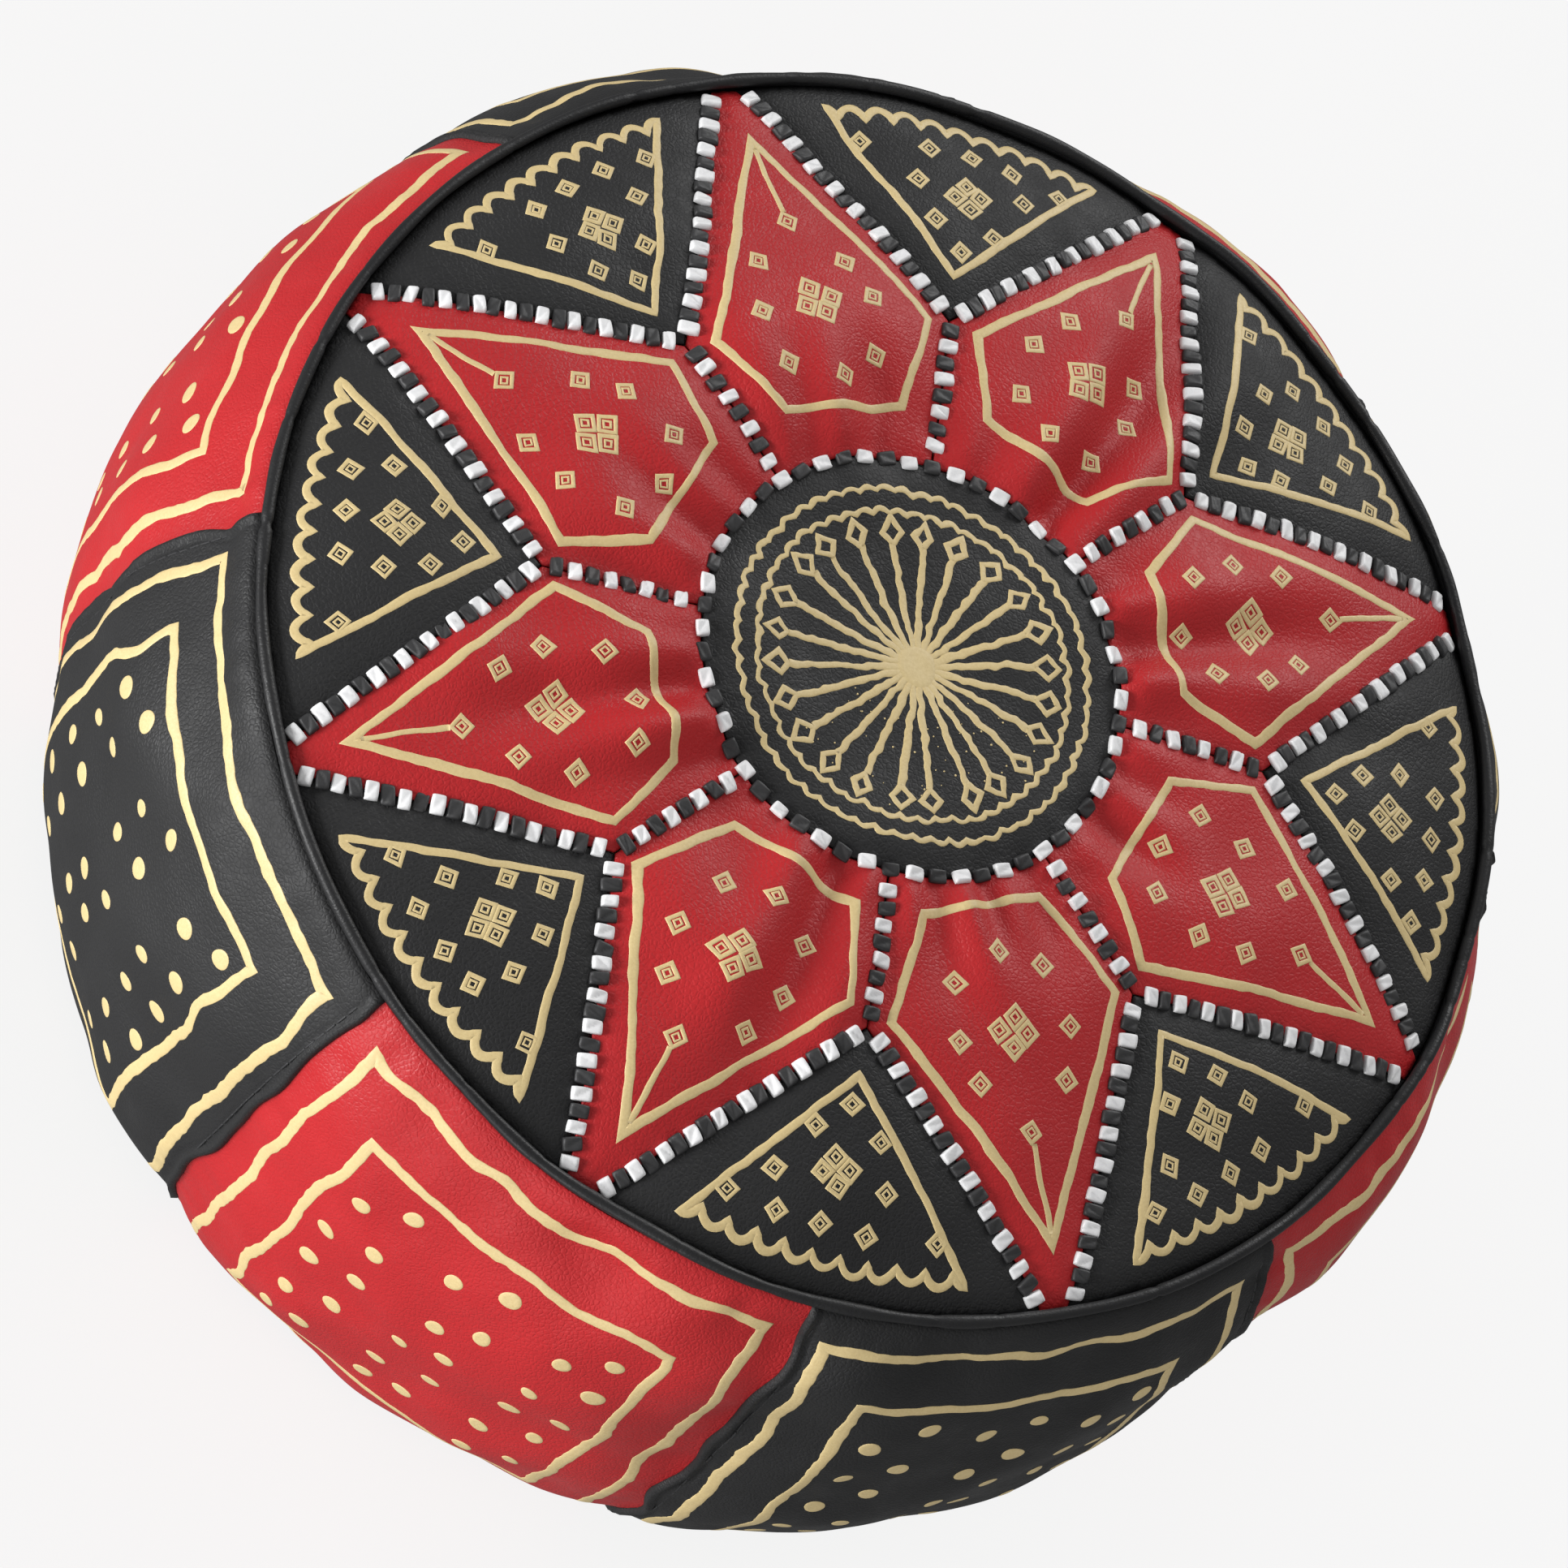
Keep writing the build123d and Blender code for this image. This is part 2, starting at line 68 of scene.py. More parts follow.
# ---- smooth noise and small helpers
def noise(seed, wave):
    """A smooth random function of points (n, 3), about -1 to 1, with that wavelength in mm."""
    count = 28
    rng = np.random.default_rng(seed)
    way = unit(rng.normal(size=(count, 3)))
    way *= TURN / wave * rng.uniform(0.6, 1.4, (count, 1))
    phase = rng.uniform(0, TURN, count)
    return lambda p: np.cos(p @ way.T + phase).sum(1) / math.sqrt(count) * 0.9


def unit(v):
    return v / np.linalg.norm(v, axis=1)[:, None]


def bell(x, width):
    return np.exp(-((x / width) ** 2))


def smooth(x):
    x = np.clip(x, 0, 1)
    return x * x * (3 - 2 * x)


def to_segment(p, a, b):
    """Distance in plan from points p (n, 2) to the segment a-b."""
    a, b = np.array(a, float), np.array(b, float)
    t = np.clip((p - a) @ (b - a) / ((b - a) @ (b - a)), 0, 1)
    return np.linalg.norm(p - a - t[:, None] * (b - a), axis=1)


def polar(radius, angle):
    return np.stack([radius * np.cos(angle), radius * np.sin(angle)], -1)


def ring_points(radius, angle, z=0.0):
    """Points (n, 3) from radii, angles and heights."""
    return np.stack([radius * np.cos(angle), radius * np.sin(angle), z + 0 * angle], -1)


def angle_from(middle, angle):
    """The turn from middle to the angle, at most half a turn either way."""
    return (angle - middle + math.pi) % TURN - math.pi


def placed(name, data):
    """A new object in the scene."""
    obj = bpy.data.objects.new(name, data)
    bpy.context.scene.collection.objects.link(obj)
    return obj


def flipped(faces):
    return [tuple(reversed(f)) for f in faces]


def band(a, b, count, closed=True):
    """Faces between the row of points that starts at a and the row that starts at b."""
    starts = range(count if closed else count - 1)
    return [(a + j, b + j, b + (j + 1) % count, a + (j + 1) % count) for j in starts]


def grid_faces(rows, columns, closed=False):
    """Faces of a grid of points stored row by row; closed joins the ends of its rows."""
    faces = []
    for a in range(0, (rows - 1) * columns, columns):
        for j in range(columns if closed else columns - 1):
            k = (j + 1) % columns
            faces.append((a + j, a + k, a + columns + k, a + columns + j))
    return faces


def closed_grid(rows, columns):
    """The row's value and the angle at each point of a grid that runs right round."""
    values, angles = np.meshgrid(rows, TURN * np.arange(columns) / columns, indexing="ij")
    return values.ravel(), angles.ravel()


# The laced seams run from the medallion's edge M to the junction J of two petals and on to the tip T.
HALF = SECTOR / 2
J = polar(JUNCTION_R, HALF)
T = np.array([SEAM_R, TIP_HALF_W])
M = polar(MEDALLION_R, HALF)


def folded(x, y):
    """The point's mirror image in the half sector between a petal's axis and its junction."""
    r, a = np.hypot(x, y), np.arctan2(y, x)
    a = np.abs((a + HALF) % SECTOR - HALF)
    return polar(r, a), r


def seam_distance(x, y):
    """Distance in plan to the nearest laced seam of the top."""
    p, r = folded(x, y)
    star, spoke = to_segment(p, J, T), to_segment(p, M, J)
    return np.minimum(np.minimum(star, spoke), np.abs(r - MEDALLION_R))


# ---- the skin: one surface that every leather piece, stitch and painted line lies on
broad, lumps, small = noise(3, 150), noise(5, 62), noise(8, 26)
ray_fold, ray_gather = noise(13, 0.55), noise(14, 0.17)
gather = noise(17, 15)
side_broad, side_lumps, side_small = noise(53, 170), noise(23, 64), noise(25, 30)
seam_wave = noise(27, 95)

# The deep folds that start at the medallion: azimuth there and at the outer end in degrees, the radius where
# the fold dies out, its depth and its half width.
FOLDS = (
    (357, 356, 138, 3.0, 8), (10, 8, 125, 1.8, 7), (26, 28, 122, 2.0, 7), (43, 43, 204, 7.4, 11),
    (60, 57, 120, 1.8, 7), (80, 84, 216, 8.2, 11), (99, 102, 124, 2.0, 7), (129, 128, 130, 2.4, 7),
    (147, 141, 150, 2.8, 8), (168, 170, 128, 2.2, 7), (184, 179, 158, 3.0, 8), (200, 199, 160, 3.4, 8),
    (224, 225, 200, 6.4, 10), (241, 238, 142, 4.2, 8), (280, 279, 192, 8.2, 11), (292, 289, 122, 2.0, 7),
    (304, 309, 150, 3.0, 8), (317, 318, 128, 2.6, 6), (331, 328, 126, 2.4, 7),
)
FOLD_KEPT = 0.75  # the share of their depth that the folds keep over the filling


def seam_sway(angle):
    """How far the top seam wanders up and down round the pouf, in mm."""
    return 1.7 * seam_wave(ring_points(SEAM_R, angle))


def folds(r, a):
    """How far the folds raise the top at polar points: a valley between two softer ridges."""
    total = np.zeros_like(r)
    for start, end, reach, depth, width in FOLDS:
        along = (r - MEDALLION_R) / (reach - MEDALLION_R)
        middle = np.radians(start + (end - start) * np.clip(along, 0, 1.4))
        across = angle_from(middle, a) * r
        spread = width * (0.7 + 0.6 * np.clip(along, 0, 1.4))
        ridges = bell(across - 1.9 * spread, spread) + bell(across + 1.9 * spread, spread)
        shape = 0.5 * ridges - bell(across, spread)
        total += FOLD_KEPT * depth * shape * smooth((r - 79) / 16) * (1 - smooth((along - 0.45) / 0.75))
    return total


def dome_height(x, y):
    """The top before it is stuffed tight: a dome that the filling makes uneven."""
    r = np.hypot(x, y)
    flat = np.stack([x, y, 0 * x], -1)
    inner = smooth((SEAM_R - r) / 45)
    uneven = 2.2 * broad(flat) + 0.9 * lumps(flat)
    return TOP_SEAM_Z + DOME * (1 - np.clip(r / SEAM_R, 0, 1.1) ** 4) + uneven * inner


def side_base(share):
    """The side's radius and height before it is stuffed; share runs from -1 at the base to 1 at the top."""
    middle, half = (TOP_SEAM_Z + BASE_SEAM_Z) / 2, (TOP_SEAM_Z - BASE_SEAM_Z) / 2
    r = SEAM_R + 0.9 + BELLY * (1 - np.abs(share) ** 2.26) ** 0.72
    return r, middle + half * share


# ---- stuffing the cover: Blender's cloth solver blows the leather up between its seams
PUFF_FROM = 60.0  # the medallion inside this radius keeps to the dome
TOP_GRID = (34, 256)
SIDE_GRID = (40, 256)
FRAMES = 20
PUFF_CAP = 9.0
SLACK = 0.018  # how much too large the leather is cut where it gathers most


def weigh(obj, name, weights):
    """A vertex group with those weights, rounded to hundredths."""
    group = obj.vertex_groups.new(name=name)
    steps = np.round(weights, 2)
    for value in np.unique(steps[steps > 0]):
        group.add(np.nonzero(steps == value)[0].tolist(), float(value), "REPLACE")


def blown_up(points, grid, held, slack, push):
    """Where the cloth solver takes a closed band of leather that is held at its seams; points are in mm."""
    rows, columns = grid
    faces = [f for i in range(rows - 1) for f in band(i * columns, (i + 1) * columns, columns)]
    mesh = bpy.data.meshes.new("stuffed_cover")
    mesh.from_pydata((points * MM).tolist(), [], faces)
    obj = placed("stuffed_cover", mesh)
    weigh(obj, "held", held)
    weigh(obj, "taut", 1 - slack)
    modifier = obj.modifiers.new("leather", "CLOTH")
    cloth = modifier.settings
    cloth.quality = 6
    cloth.mass = 0.15
    cloth.tension_stiffness = cloth.compression_stiffness = 20
    cloth.shear_stiffness = 10
    cloth.bending_stiffness = 15
    cloth.tension_damping = cloth.compression_damping = cloth.shear_damping = 10
    cloth.use_pressure = True
    cloth.uniform_pressure_force = push
    cloth.vertex_group_mass = "held"
    cloth.vertex_group_shrink = "taut"
    cloth.shrink_min, cloth.shrink_max = -SLACK, 0
    cloth.effector_weights.gravity = 0
    modifier.collision_settings.use_collision = False
    modifier.point_cache.frame_start, modifier.point_cache.frame_end = 1, FRAMES
    for frame_number in range(1, FRAMES + 1):
        bpy.context.scene.frame_set(frame_number)
    settled = obj.evaluated_get(bpy.context.evaluated_depsgraph_get()).data
    out = np.empty(len(points) * 3)
    settled.vertices.foreach_get("co", out)
    bpy.context.scene.frame_set(1)
    bpy.data.objects.remove(obj)
    bpy.data.meshes.remove(mesh)
    return out.reshape(-1, 3) / MM


def panel_seam_distance(angle, r):
    """Distance round the side to the nearest seam between two panels."""
    k = (angle / SECTOR + 0.5) % 1 - 0.5
    return (0.5 - np.abs(k)) * SECTOR * r


def seam_hold(distance, width):
    """How firmly the solver holds a point: 1 on a seam, falling to 0 at 1.2 widths from it."""
    hold = np.clip(1.2 - distance / width, 0, 1)
    return np.where(hold < 0.2, 0, hold)


def top_puff():
    """How far the stuffing raises the top at each point of a polar grid, in mm."""
    rows, columns = TOP_GRID
    r, a = closed_grid(np.linspace(PUFF_FROM, SEAM_R, rows), columns)
    x, y = r * np.cos(a), r * np.sin(a)
    points = np.stack([x, y, dome_height(x, y)], -1)
    held = seam_hold(seam_distance(x, y), 9.0)
    held[:columns] = held[-columns:] = 1
    slack = 0.35 + 0.65 * bell(r - 92, 34) * (r > 84)
    moved = blown_up(points, TOP_GRID, held, slack, 4.0)
    return np.clip(moved[:, 2] - points[:, 2], -PUFF_CAP, PUFF_CAP).reshape(rows, columns)


def side_puff():
    """How far the stuffing pushes out the side at each point of a grid of heights and angles, in mm."""
    rows, columns = SIDE_GRID
    share, a = closed_grid(np.sin(np.linspace(-math.pi / 2, math.pi / 2, rows)), columns)
    r, z = side_base(share)
    points = ring_points(r, a, z)
    outward = points * (1, 1, 0) / r[:, None]
    points += outward * (1.2 * side_lumps(points) * (1 - share**4))[:, None]
    held = seam_hold(panel_seam_distance(a, r), 12.0)
    held[:columns] = held[-columns:] = 1
    moved = blown_up(points, SIDE_GRID, held, 0.7 + 0 * a, -6.0)
    return np.clip(((moved - points) * outward).sum(1), -PUFF_CAP, PUFF_CAP).reshape(rows, columns)


def relaxed(grid, passes):
    """The grid with its narrowest puckers smoothed away."""
    for _ in range(passes):
        grid = (np.roll(grid, 1, 1) + 2 * grid + np.roll(grid, -1, 1)) / 4
        grid[1:-1] = (grid[:-2] + 2 * grid[1:-1] + grid[2:]) / 4
    return grid


def spline_weights(t):
    """The weights of the four neighbours of a place between the second and the third."""
    return np.stack([(1 - t) ** 3, 3 * t**3 - 6 * t**2 + 4, -3 * t**3 + 3 * t**2 + 3 * t + 1, t**3]) / 6


def sampled(grid, row, column):
    """The grid's value between its points, smooth both ways and closed round its columns."""
    rows, columns = grid.shape
    row = np.clip(row, 0, rows - 1)
    i, j = np.floor(row).astype(int), np.floor(column).astype(int)
    by_row, by_column = spline_weights(row - i), spline_weights(column - j)
    total = 0
    for p in range(4):
        line = grid[np.clip(i + p - 1, 0, rows - 1)[None], (j + np.arange(-1, 3)[:, None]) % columns]
        total = total + by_row[p] * (by_column * line).sum(0)
    return total


TOP_PUFF, SIDE_PUFF = relaxed(top_puff(), 5), relaxed(side_puff(), 6)


def top_height(x, y):
    """The height of the stuffed top's outer face."""
    r, a = np.hypot(x, y), np.arctan2(y, x)
    flat = np.stack([x, y, 0 * x], -1)
    d = seam_distance(x, y)
    z = dome_height(x, y)
    row = (r - PUFF_FROM) / (SEAM_R - PUFF_FROM) * (TOP_GRID[0] - 1)
    z += sampled(TOP_PUFF, row, a % TURN / TURN * TOP_GRID[1])
    z += -1.5 * bell(d, 7)
    # folds and finer gathers that radiate from the medallion into the petals
    ring = np.stack([np.cos(a), np.sin(a), r / 220], -1)
    z += folds(r, a)
    z += 1.5 * ray_fold(ring) * bell(r - 110, 48) * smooth((r - 70) / 26)
    z += 0.5 * ray_gather(ring) * bell(r - 92, 15)
    # each stitch draws the leather in a little
    z += 0.16 * small(flat) * bell(d, 8)
    z -= 1.0 * smooth((r - 238) / 11)
    z += seam_sway(a) * smooth((r - 205) / 45)
    return z


DENT_FROM, DENT_ROOM = -4.5, 2.5  # past the first depth the side gives less, so the bag stays covered
SWELL_AT, SWELL = math.radians(68), 5.5  # where the side bulges out most under the rim, and how much


def side_point(angle, share):
    """A point of the side's outer face; share runs from -1 at the base seam to 1 at the top seam."""
    share = np.clip(share, -1, 1)
    r, z = side_base(share)
    around = ring_points(SEAM_R, angle, z)
    away = smooth((1 - np.abs(share)) / 0.16)
    near_edge = (1 - np.abs(share)) * 113
    seam = panel_seam_distance(angle, r)
    row = (np.arcsin(share) / math.pi + 0.5) * (SIDE_GRID[0] - 1)
    blown = sampled(SIDE_PUFF, row, angle % TURN / TURN * SIDE_GRID[1])
    uneven = 2.6 * side_broad(around) + 1.6 * side_lumps(around) + 0.35 * side_small(around)
    puff = (uneven + blown - 3.4) * away
    puff += -1.6 * bell(seam, 17) * away
    puff += SWELL * bell(angle_from(SWELL_AT, angle), 0.62) * bell(share - 0.84, 0.24) * away
    puff += 0.45 * gather(around * np.array([1, 1, 0.25])) * bell(near_edge - 8, 9) * smooth(near_edge / 5)
    puff += 0.4 * gather(around * np.array([0.3, 0.3, 1.0])) * bell(seam - 9, 9) * away
    deeper = np.maximum(DENT_FROM - puff, 0)
    puff = np.maximum(puff, DENT_FROM) - DENT_ROOM * np.tanh(deeper / DENT_ROOM)
    z = z + seam_sway(angle) * smooth((share - 0.55) / 0.45)
    share_normal = np.sign(share) * np.abs(share) ** 3 * 0.8
    return ring_points(r + puff * np.sqrt(1 - share_normal**2), angle, z + puff * share_normal)


def top_skin(x, y, lift=0.0):
    """Points (n, 3) on the top, raised along its normal by lift."""
    x, y = np.asarray(x, float), np.asarray(y, float)
    step = 0.4
    z = top_height(x, y)
    zx = (top_height(x + step, y) - top_height(x - step, y)) / (2 * step)
    zy = (top_height(x, y + step) - top_height(x, y - step)) / (2 * step)
    n = unit(np.stack([-zx, -zy, np.ones_like(z)], -1))
    return np.stack([x, y, z], -1) + n * np.broadcast_to(lift, z.shape)[:, None]


def side_skin(angle, share, lift=0.0):
    """Points (n, 3) on the side, raised along its normal by lift."""
    angle, share = np.asarray(angle, float), np.asarray(share, float)
    step = 0.003
    da = side_point(angle + step, share) - side_point(angle - step, share)
    ds = side_point(angle, share + step) - side_point(angle, share - step)
    return side_point(angle, share) + unit(np.cross(da, ds)) * np.broadcast_to(lift, share.shape)[:, None]


# ---- meshes
def new_piece(name, points, faces, material, replaces=()):
    """A piece of the cover from points in mm."""
    mesh = bpy.data.meshes.new(name)
    mesh.from_pydata((np.asarray(points) * MM).tolist(), [], [list(map(int, f)) for f in faces])
    mesh.validate()
    mesh.update()
    mesh.shade_smooth()
    mesh.materials.append(material)
    obj = placed(name, mesh)
    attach(obj, "cover")
    if replaces:
        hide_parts(*replaces)
    return obj


def thickened(points, faces, below):
    """A closed shell: the faces, a copy at the points below, and walls along the free edges."""
    n = len(points)
    count = {}
    for f in faces:
        for a, b in zip(f, list(f[1:]) + [f[0]]):
            count[(a, b)] = count.get((a, b), 0) + 1
    walls = [(b, a, a + n, b + n) for a, b in count if (b, a) not in count]
    under = [tuple(i + n for i in reversed(f)) for f in faces]
    return np.concatenate([points, below]), list(faces) + under + walls


# ---- materials
def shader(name):
    material = bpy.data.materials.new(name)
    material.use_nodes = True
    tree = material.node_tree
    tree.nodes.clear()
    out = tree.nodes.new("ShaderNodeOutputMaterial")
    bsdf = tree.nodes.new("ShaderNodeBsdfPrincipled")
    tree.links.new(bsdf.outputs[0], out.inputs[0])
    return material, tree, bsdf


def set_inputs(tree, made, inputs):
    """Gives a node's inputs, by name or number, values or other nodes' sockets."""
    for key, value in inputs.items():
        if isinstance(value, bpy.types.NodeSocket):
            tree.links.new(value, made.inputs[key])
        else:
            made.inputs[key].default_value = value
    return made


def node(tree, kind, **inputs):
    return set_inputs(tree, tree.nodes.new("ShaderNode" + kind), inputs)


def coordinates(tree):
    return tree.nodes.new("ShaderNodeTexCoord").outputs["Object"]


def clouds(tree, co, scale, detail, roughness=0.5, distortion=0.0):
    """Noise between 0 and 1."""
    made = node(tree, "TexNoise", Vector=co, Scale=scale, Detail=detail, Roughness=roughness)
    return set_inputs(tree, made, {"Distortion": distortion}).outputs["Fac"]


def ramp(tree, value, low, high, a, b):
    """The value, mapped from low..high to a..b."""
    made = tree.nodes.new("ShaderNodeMapRange")
    return set_inputs(tree, made, dict(enumerate((value, low, high, a, b)))).outputs[0]


def mixed(tree, factor, a, b):
    """A blend of two colours, each a socket or three numbers."""
    made = tree.nodes.new("ShaderNodeMix")
    made.data_type = "RGBA"
    a, b = [c if isinstance(c, bpy.types.NodeSocket) else (*c, 1) for c in (a, b)]
    return set_inputs(tree, made, {0: factor, 6: a, 7: b}).outputs[2]


def bumped(tree, bsdf, *layers):
    """Bumps laid over one another, each given by its strength, its depth in metres and its height socket."""
    below = {}
    for strength, depth, height in layers:
        made = node(tree, "Bump", Strength=strength, Distance=depth, Height=height, **below)
        below = {"Normal": made.outputs[0]}
    set_inputs(tree, bsdf, below)


def leather(name, colour, dark, bright, rough, grain=0.3, gloss=0.3):
    """Dyed goat leather: pebbled grain, fine wrinkles, dye that varies and rubbed patches."""
    material, tree, bsdf = shader(name)
    co = coordinates(tree)
    cloud = clouds(tree, co, 9.0, 4.0, 0.6)
    blot = clouds(tree, co, 38.0, 5.0, 0.65)
    crinkle = clouds(tree, co, 150.0, 4.0, 0.7, 0.6)
    fine = clouds(tree, co, 1000.0, 3.0)
    pebble = node(tree, "TexVoronoi", Vector=co, Scale=520.0)
    pebble.feature = "DISTANCE_TO_EDGE"
    furrow = pebble.outputs["Distance"]
    base = mixed(tree, ramp(tree, cloud, 0.35, 0.68, 0, 1), dark, colour)
    base = mixed(tree, ramp(tree, blot, 0.48, 0.78, 0, 0.3), base, bright)
    base = mixed(tree, ramp(tree, furrow, 0.0, 0.12, 0.12, 0.0), base, dark)
    matte = ramp(tree, blot, 0.35, 0.75, rough + 0.1, rough - 0.09)
    set_inputs(tree, bsdf, {"Base Color": base, "Roughness": matte, "Specular IOR Level": gloss})
    pebbled = (grain, 0.0005, ramp(tree, furrow, 0, 0.25, 0, 1))
    bumped(tree, bsdf, pebbled, (0.3, 0.0004, fine), (0.12, 0.0010, crinkle), (0.2, 0.0014, blot))
    return material


def plain(name, colour, dark, rough, scale, metallic=0.0, strength=0.3):
    """Lace, paint, thread or metal: one colour with mottling and a fine bump."""
    material, tree, bsdf = shader(name)
    co = coordinates(tree)
    mottle = clouds(tree, co, scale, 5.0, 0.62)
    patch = clouds(tree, co, scale / 14, 2.0)
    base = mixed(tree, ramp(tree, mottle, 0.3, 0.7, 0, 1), dark, colour)
    base = mixed(tree, ramp(tree, patch, 0.35, 0.7, 0.35, 0), base, dark)
    matte = ramp(tree, mottle, 0.2, 0.8, rough + 0.08, rough - 0.08)
    set_inputs(tree, bsdf, {"Base Color": base, "Roughness": matte, "Metallic": metallic})
    bumped(tree, bsdf, (strength, 0.0003, mottle))
    return material


def woven(name, colour, dark, pitch):
    """Plain weave of that thread pitch in metres."""
    material, tree, bsdf = shader(name)
    co = coordinates(tree)
    threads = []
    for way in "XY":
        made = node(tree, "TexWave", Vector=co, Scale=TURN / pitch / 20)
        made.bands_direction = way
        threads.append(made.outputs["Fac"])
    cross = set_inputs(tree, tree.nodes.new("ShaderNodeMath"), dict(enumerate(threads)))
    cross.operation = "MAXIMUM"
    base = mixed(tree, ramp(tree, cross.outputs[0], 0.2, 1, 0, 1), dark, colour)
    slubs = ramp(tree, clouds(tree, co, 60.0, 5.0), 0.4, 0.7, 0.3, 0)
    set_inputs(tree, bsdf, {"Base Color": mixed(tree, slubs, base, dark), "Roughness": 0.85})
    bumped(tree, bsdf, (0.5, 0.0003, cross.outputs[0]))
    return material


RED = leather(
    "red_leather", (0.43, 0.014, 0.017), (0.36, 0.011, 0.014), (0.46, 0.034, 0.038), rough=0.45, gloss=0.28
)
BLACK = leather(
    "black_leather", (0.018, 0.018, 0.0185), (0.013, 0.013, 0.0135), (0.027, 0.027, 0.028), rough=0.56
)
PIPING = leather(
    "piping_leather", (0.017, 0.017, 0.0175), (0.011, 0.011, 0.012), (0.025, 0.025, 0.025),
    rough=0.44, grain=0.1, gloss=0.33,
)
WHITE_LACE = plain("white_lace", (0.76, 0.76, 0.76), (0.66, 0.66, 0.67), 0.42, 700)
BLACK_LACE = plain("black_lace", (0.032, 0.032, 0.033), (0.022, 0.022, 0.023), 0.55, 700)
GILT = plain("gilt_paint", (0.63, 0.50, 0.25), (0.54, 0.41, 0.19), 0.5, 900, strength=0.35)
THREAD = plain("black_thread", (0.03, 0.03, 0.032), (0.012, 0.012, 0.013), 0.6, 1800)
BRASS = plain("aged_brass", (0.62, 0.48, 0.24), (0.40, 0.29, 0.13), 0.32, 500, metallic=1.0, strength=0.15)
TAPE = woven("zip_tape_cloth", (0.03, 0.03, 0.033), (0.01, 0.01, 0.011), 0.0009)
CANVAS = woven("cotton_canvas", (0.74, 0.69, 0.58), (0.58, 0.53, 0.42), 0.0011)
WADDING = plain("cotton_waste", (0.80, 0.77, 0.70), (0.66, 0.62, 0.54), 0.9, 60, strength=0.8)


# ---- the top's leather, cut as plan outlines and laid on the skin
def resample(loop, step):
    """A closed outline with points every step or less; the corners stay."""
    out = []
    for a, b in zip(loop, np.roll(loop, -1, axis=0)):
        n = max(1, int(math.ceil(np.linalg.norm(b - a) / step)))
        out += [a + (b - a) * i / n for i in range(n)]
    return np.array(out)


GRAIN = 2.3  # spacing of the points inside a panel


def laid_panel(name, outline, edge_distance, material, node_name):
    """A leather piece of the top. edge_distance gives how far inside its outline a plan point is."""
    border = resample(outline, 1.6)
    low, high = border.min(0), border.max(0)
    xs = np.arange(low[0], high[0], GRAIN)
    ys = np.arange(low[1], high[1], GRAIN * 0.87)
    gx, gy = np.meshgrid(xs, ys)
    gx = gx + (np.arange(len(ys)) % 2)[:, None] * GRAIN / 2
    field = np.stack([gx.ravel(), gy.ravel()], -1)
    field = field[edge_distance(field) > 1.9]
    along = np.roll(border, -1, 0) - np.roll(border, 1, 0)
    inward = unit(np.stack([-along[:, 1], along[:, 0]], -1))
    rings = []
    for inset in (0.45, 1.0):
        ring = border + inward * inset
        rings.append(ring[edge_distance(ring) > inset * 0.8])
    points = np.concatenate([border, *rings, field])
    edges = [(i, (i + 1) % len(border)) for i in range(len(border))]
    result = geometry.delaunay_2d_cdt([Vector(p) for p in points], edges, [], 1, 1e-4)
    flat = np.array([tuple(v) for v in result[0]])
    faces = [tuple(f) for f in result[2]]
    d = edge_distance(flat)
    drop = -0.85 * np.clip(1 - d / 1.15, 0, 1) ** 2
    skin = top_skin(flat[:, 0], flat[:, 1], drop)
    below = top_skin(flat[:, 0], flat[:, 1], -LEATHER)
    points, faces = thickened(skin, faces, below)
    new_piece(name, points, faces, material, [node_name])


def line_side(p, a, b):
    """Signed distance of points p to the line a-b, positive on its left."""
    t = (b - a) / np.linalg.norm(b - a)
    return (p - a) @ np.array([-t[1], t[0]])


def turn(points, angle):
    """Plan points (n, 2), turned about the middle."""
    c, s = math.cos(angle), math.sin(angle)
    return np.asarray(points) @ np.array([[c, s], [-s, c]])


GAP = 0.25  # between a leather piece's edge and its seam
MIRROR = np.array([1, -1])


def petal_distance(p):
    r = np.hypot(p[:, 0], p[:, 1])
    seams = ((M * MIRROR, J * MIRROR), (J * MIRROR, T * MIRROR), (T, J), (J, M))
    sides = [line_side(p, start, end) for start, end in seams]
    return np.min([*sides, r - MEDALLION_R, RIM_R - r], axis=0) - GAP


def petal_outline():
    arc = polar(MEDALLION_R + GAP, np.linspace(HALF - 0.004, -HALF + 0.004, 44))
    rim = polar(RIM_R, np.linspace(-0.0195, 0.0195, 6))
    inset = (0, GAP * 1.1)
    return np.concatenate([arc, [J * MIRROR + inset], rim, [J - inset]])


def triangle_distance(p):
    r = np.hypot(p[:, 0], p[:, 1])
    near, far = turn([T], -HALF)[0], turn([T * MIRROR], HALF)[0]
    point = np.array([JUNCTION_R, 0.0])
    return np.min([line_side(p, point, near), line_side(p, far, point), RIM_R - r], axis=0) - GAP


def triangle_outline():
    near = HALF - TIP_HALF_W / SEAM_R - 0.0015
    rim = polar(RIM_R, np.linspace(-near, near, 60))
    return np.concatenate([[[JUNCTION_R + 0.5, 0.0]], rim])


laid_panel(
    "centre_medallion_leather",
    polar(MEDALLION_R - GAP, np.linspace(0, TURN, 340, endpoint=False)),
    lambda p: MEDALLION_R - GAP - np.hypot(p[:, 0], p[:, 1]),
    BLACK, "centre_medallion",
)
for i in range(PANELS):
    a = SECTOR * i
    laid_panel(
        f"star_petal_leather_{i + 1}", turn(petal_outline(), a),
        lambda p, a=a: petal_distance(turn(p, -a)), RED, f"star_petal_{i + 1}",
    )
    a = SECTOR * (i + 0.5)
    laid_panel(
        f"rim_triangle_leather_{i + 1}", turn(triangle_outline(), a),
        lambda p, a=a: triangle_distance(turn(p, -a)), BLACK, f"rim_triangle_{i + 1}",
    )


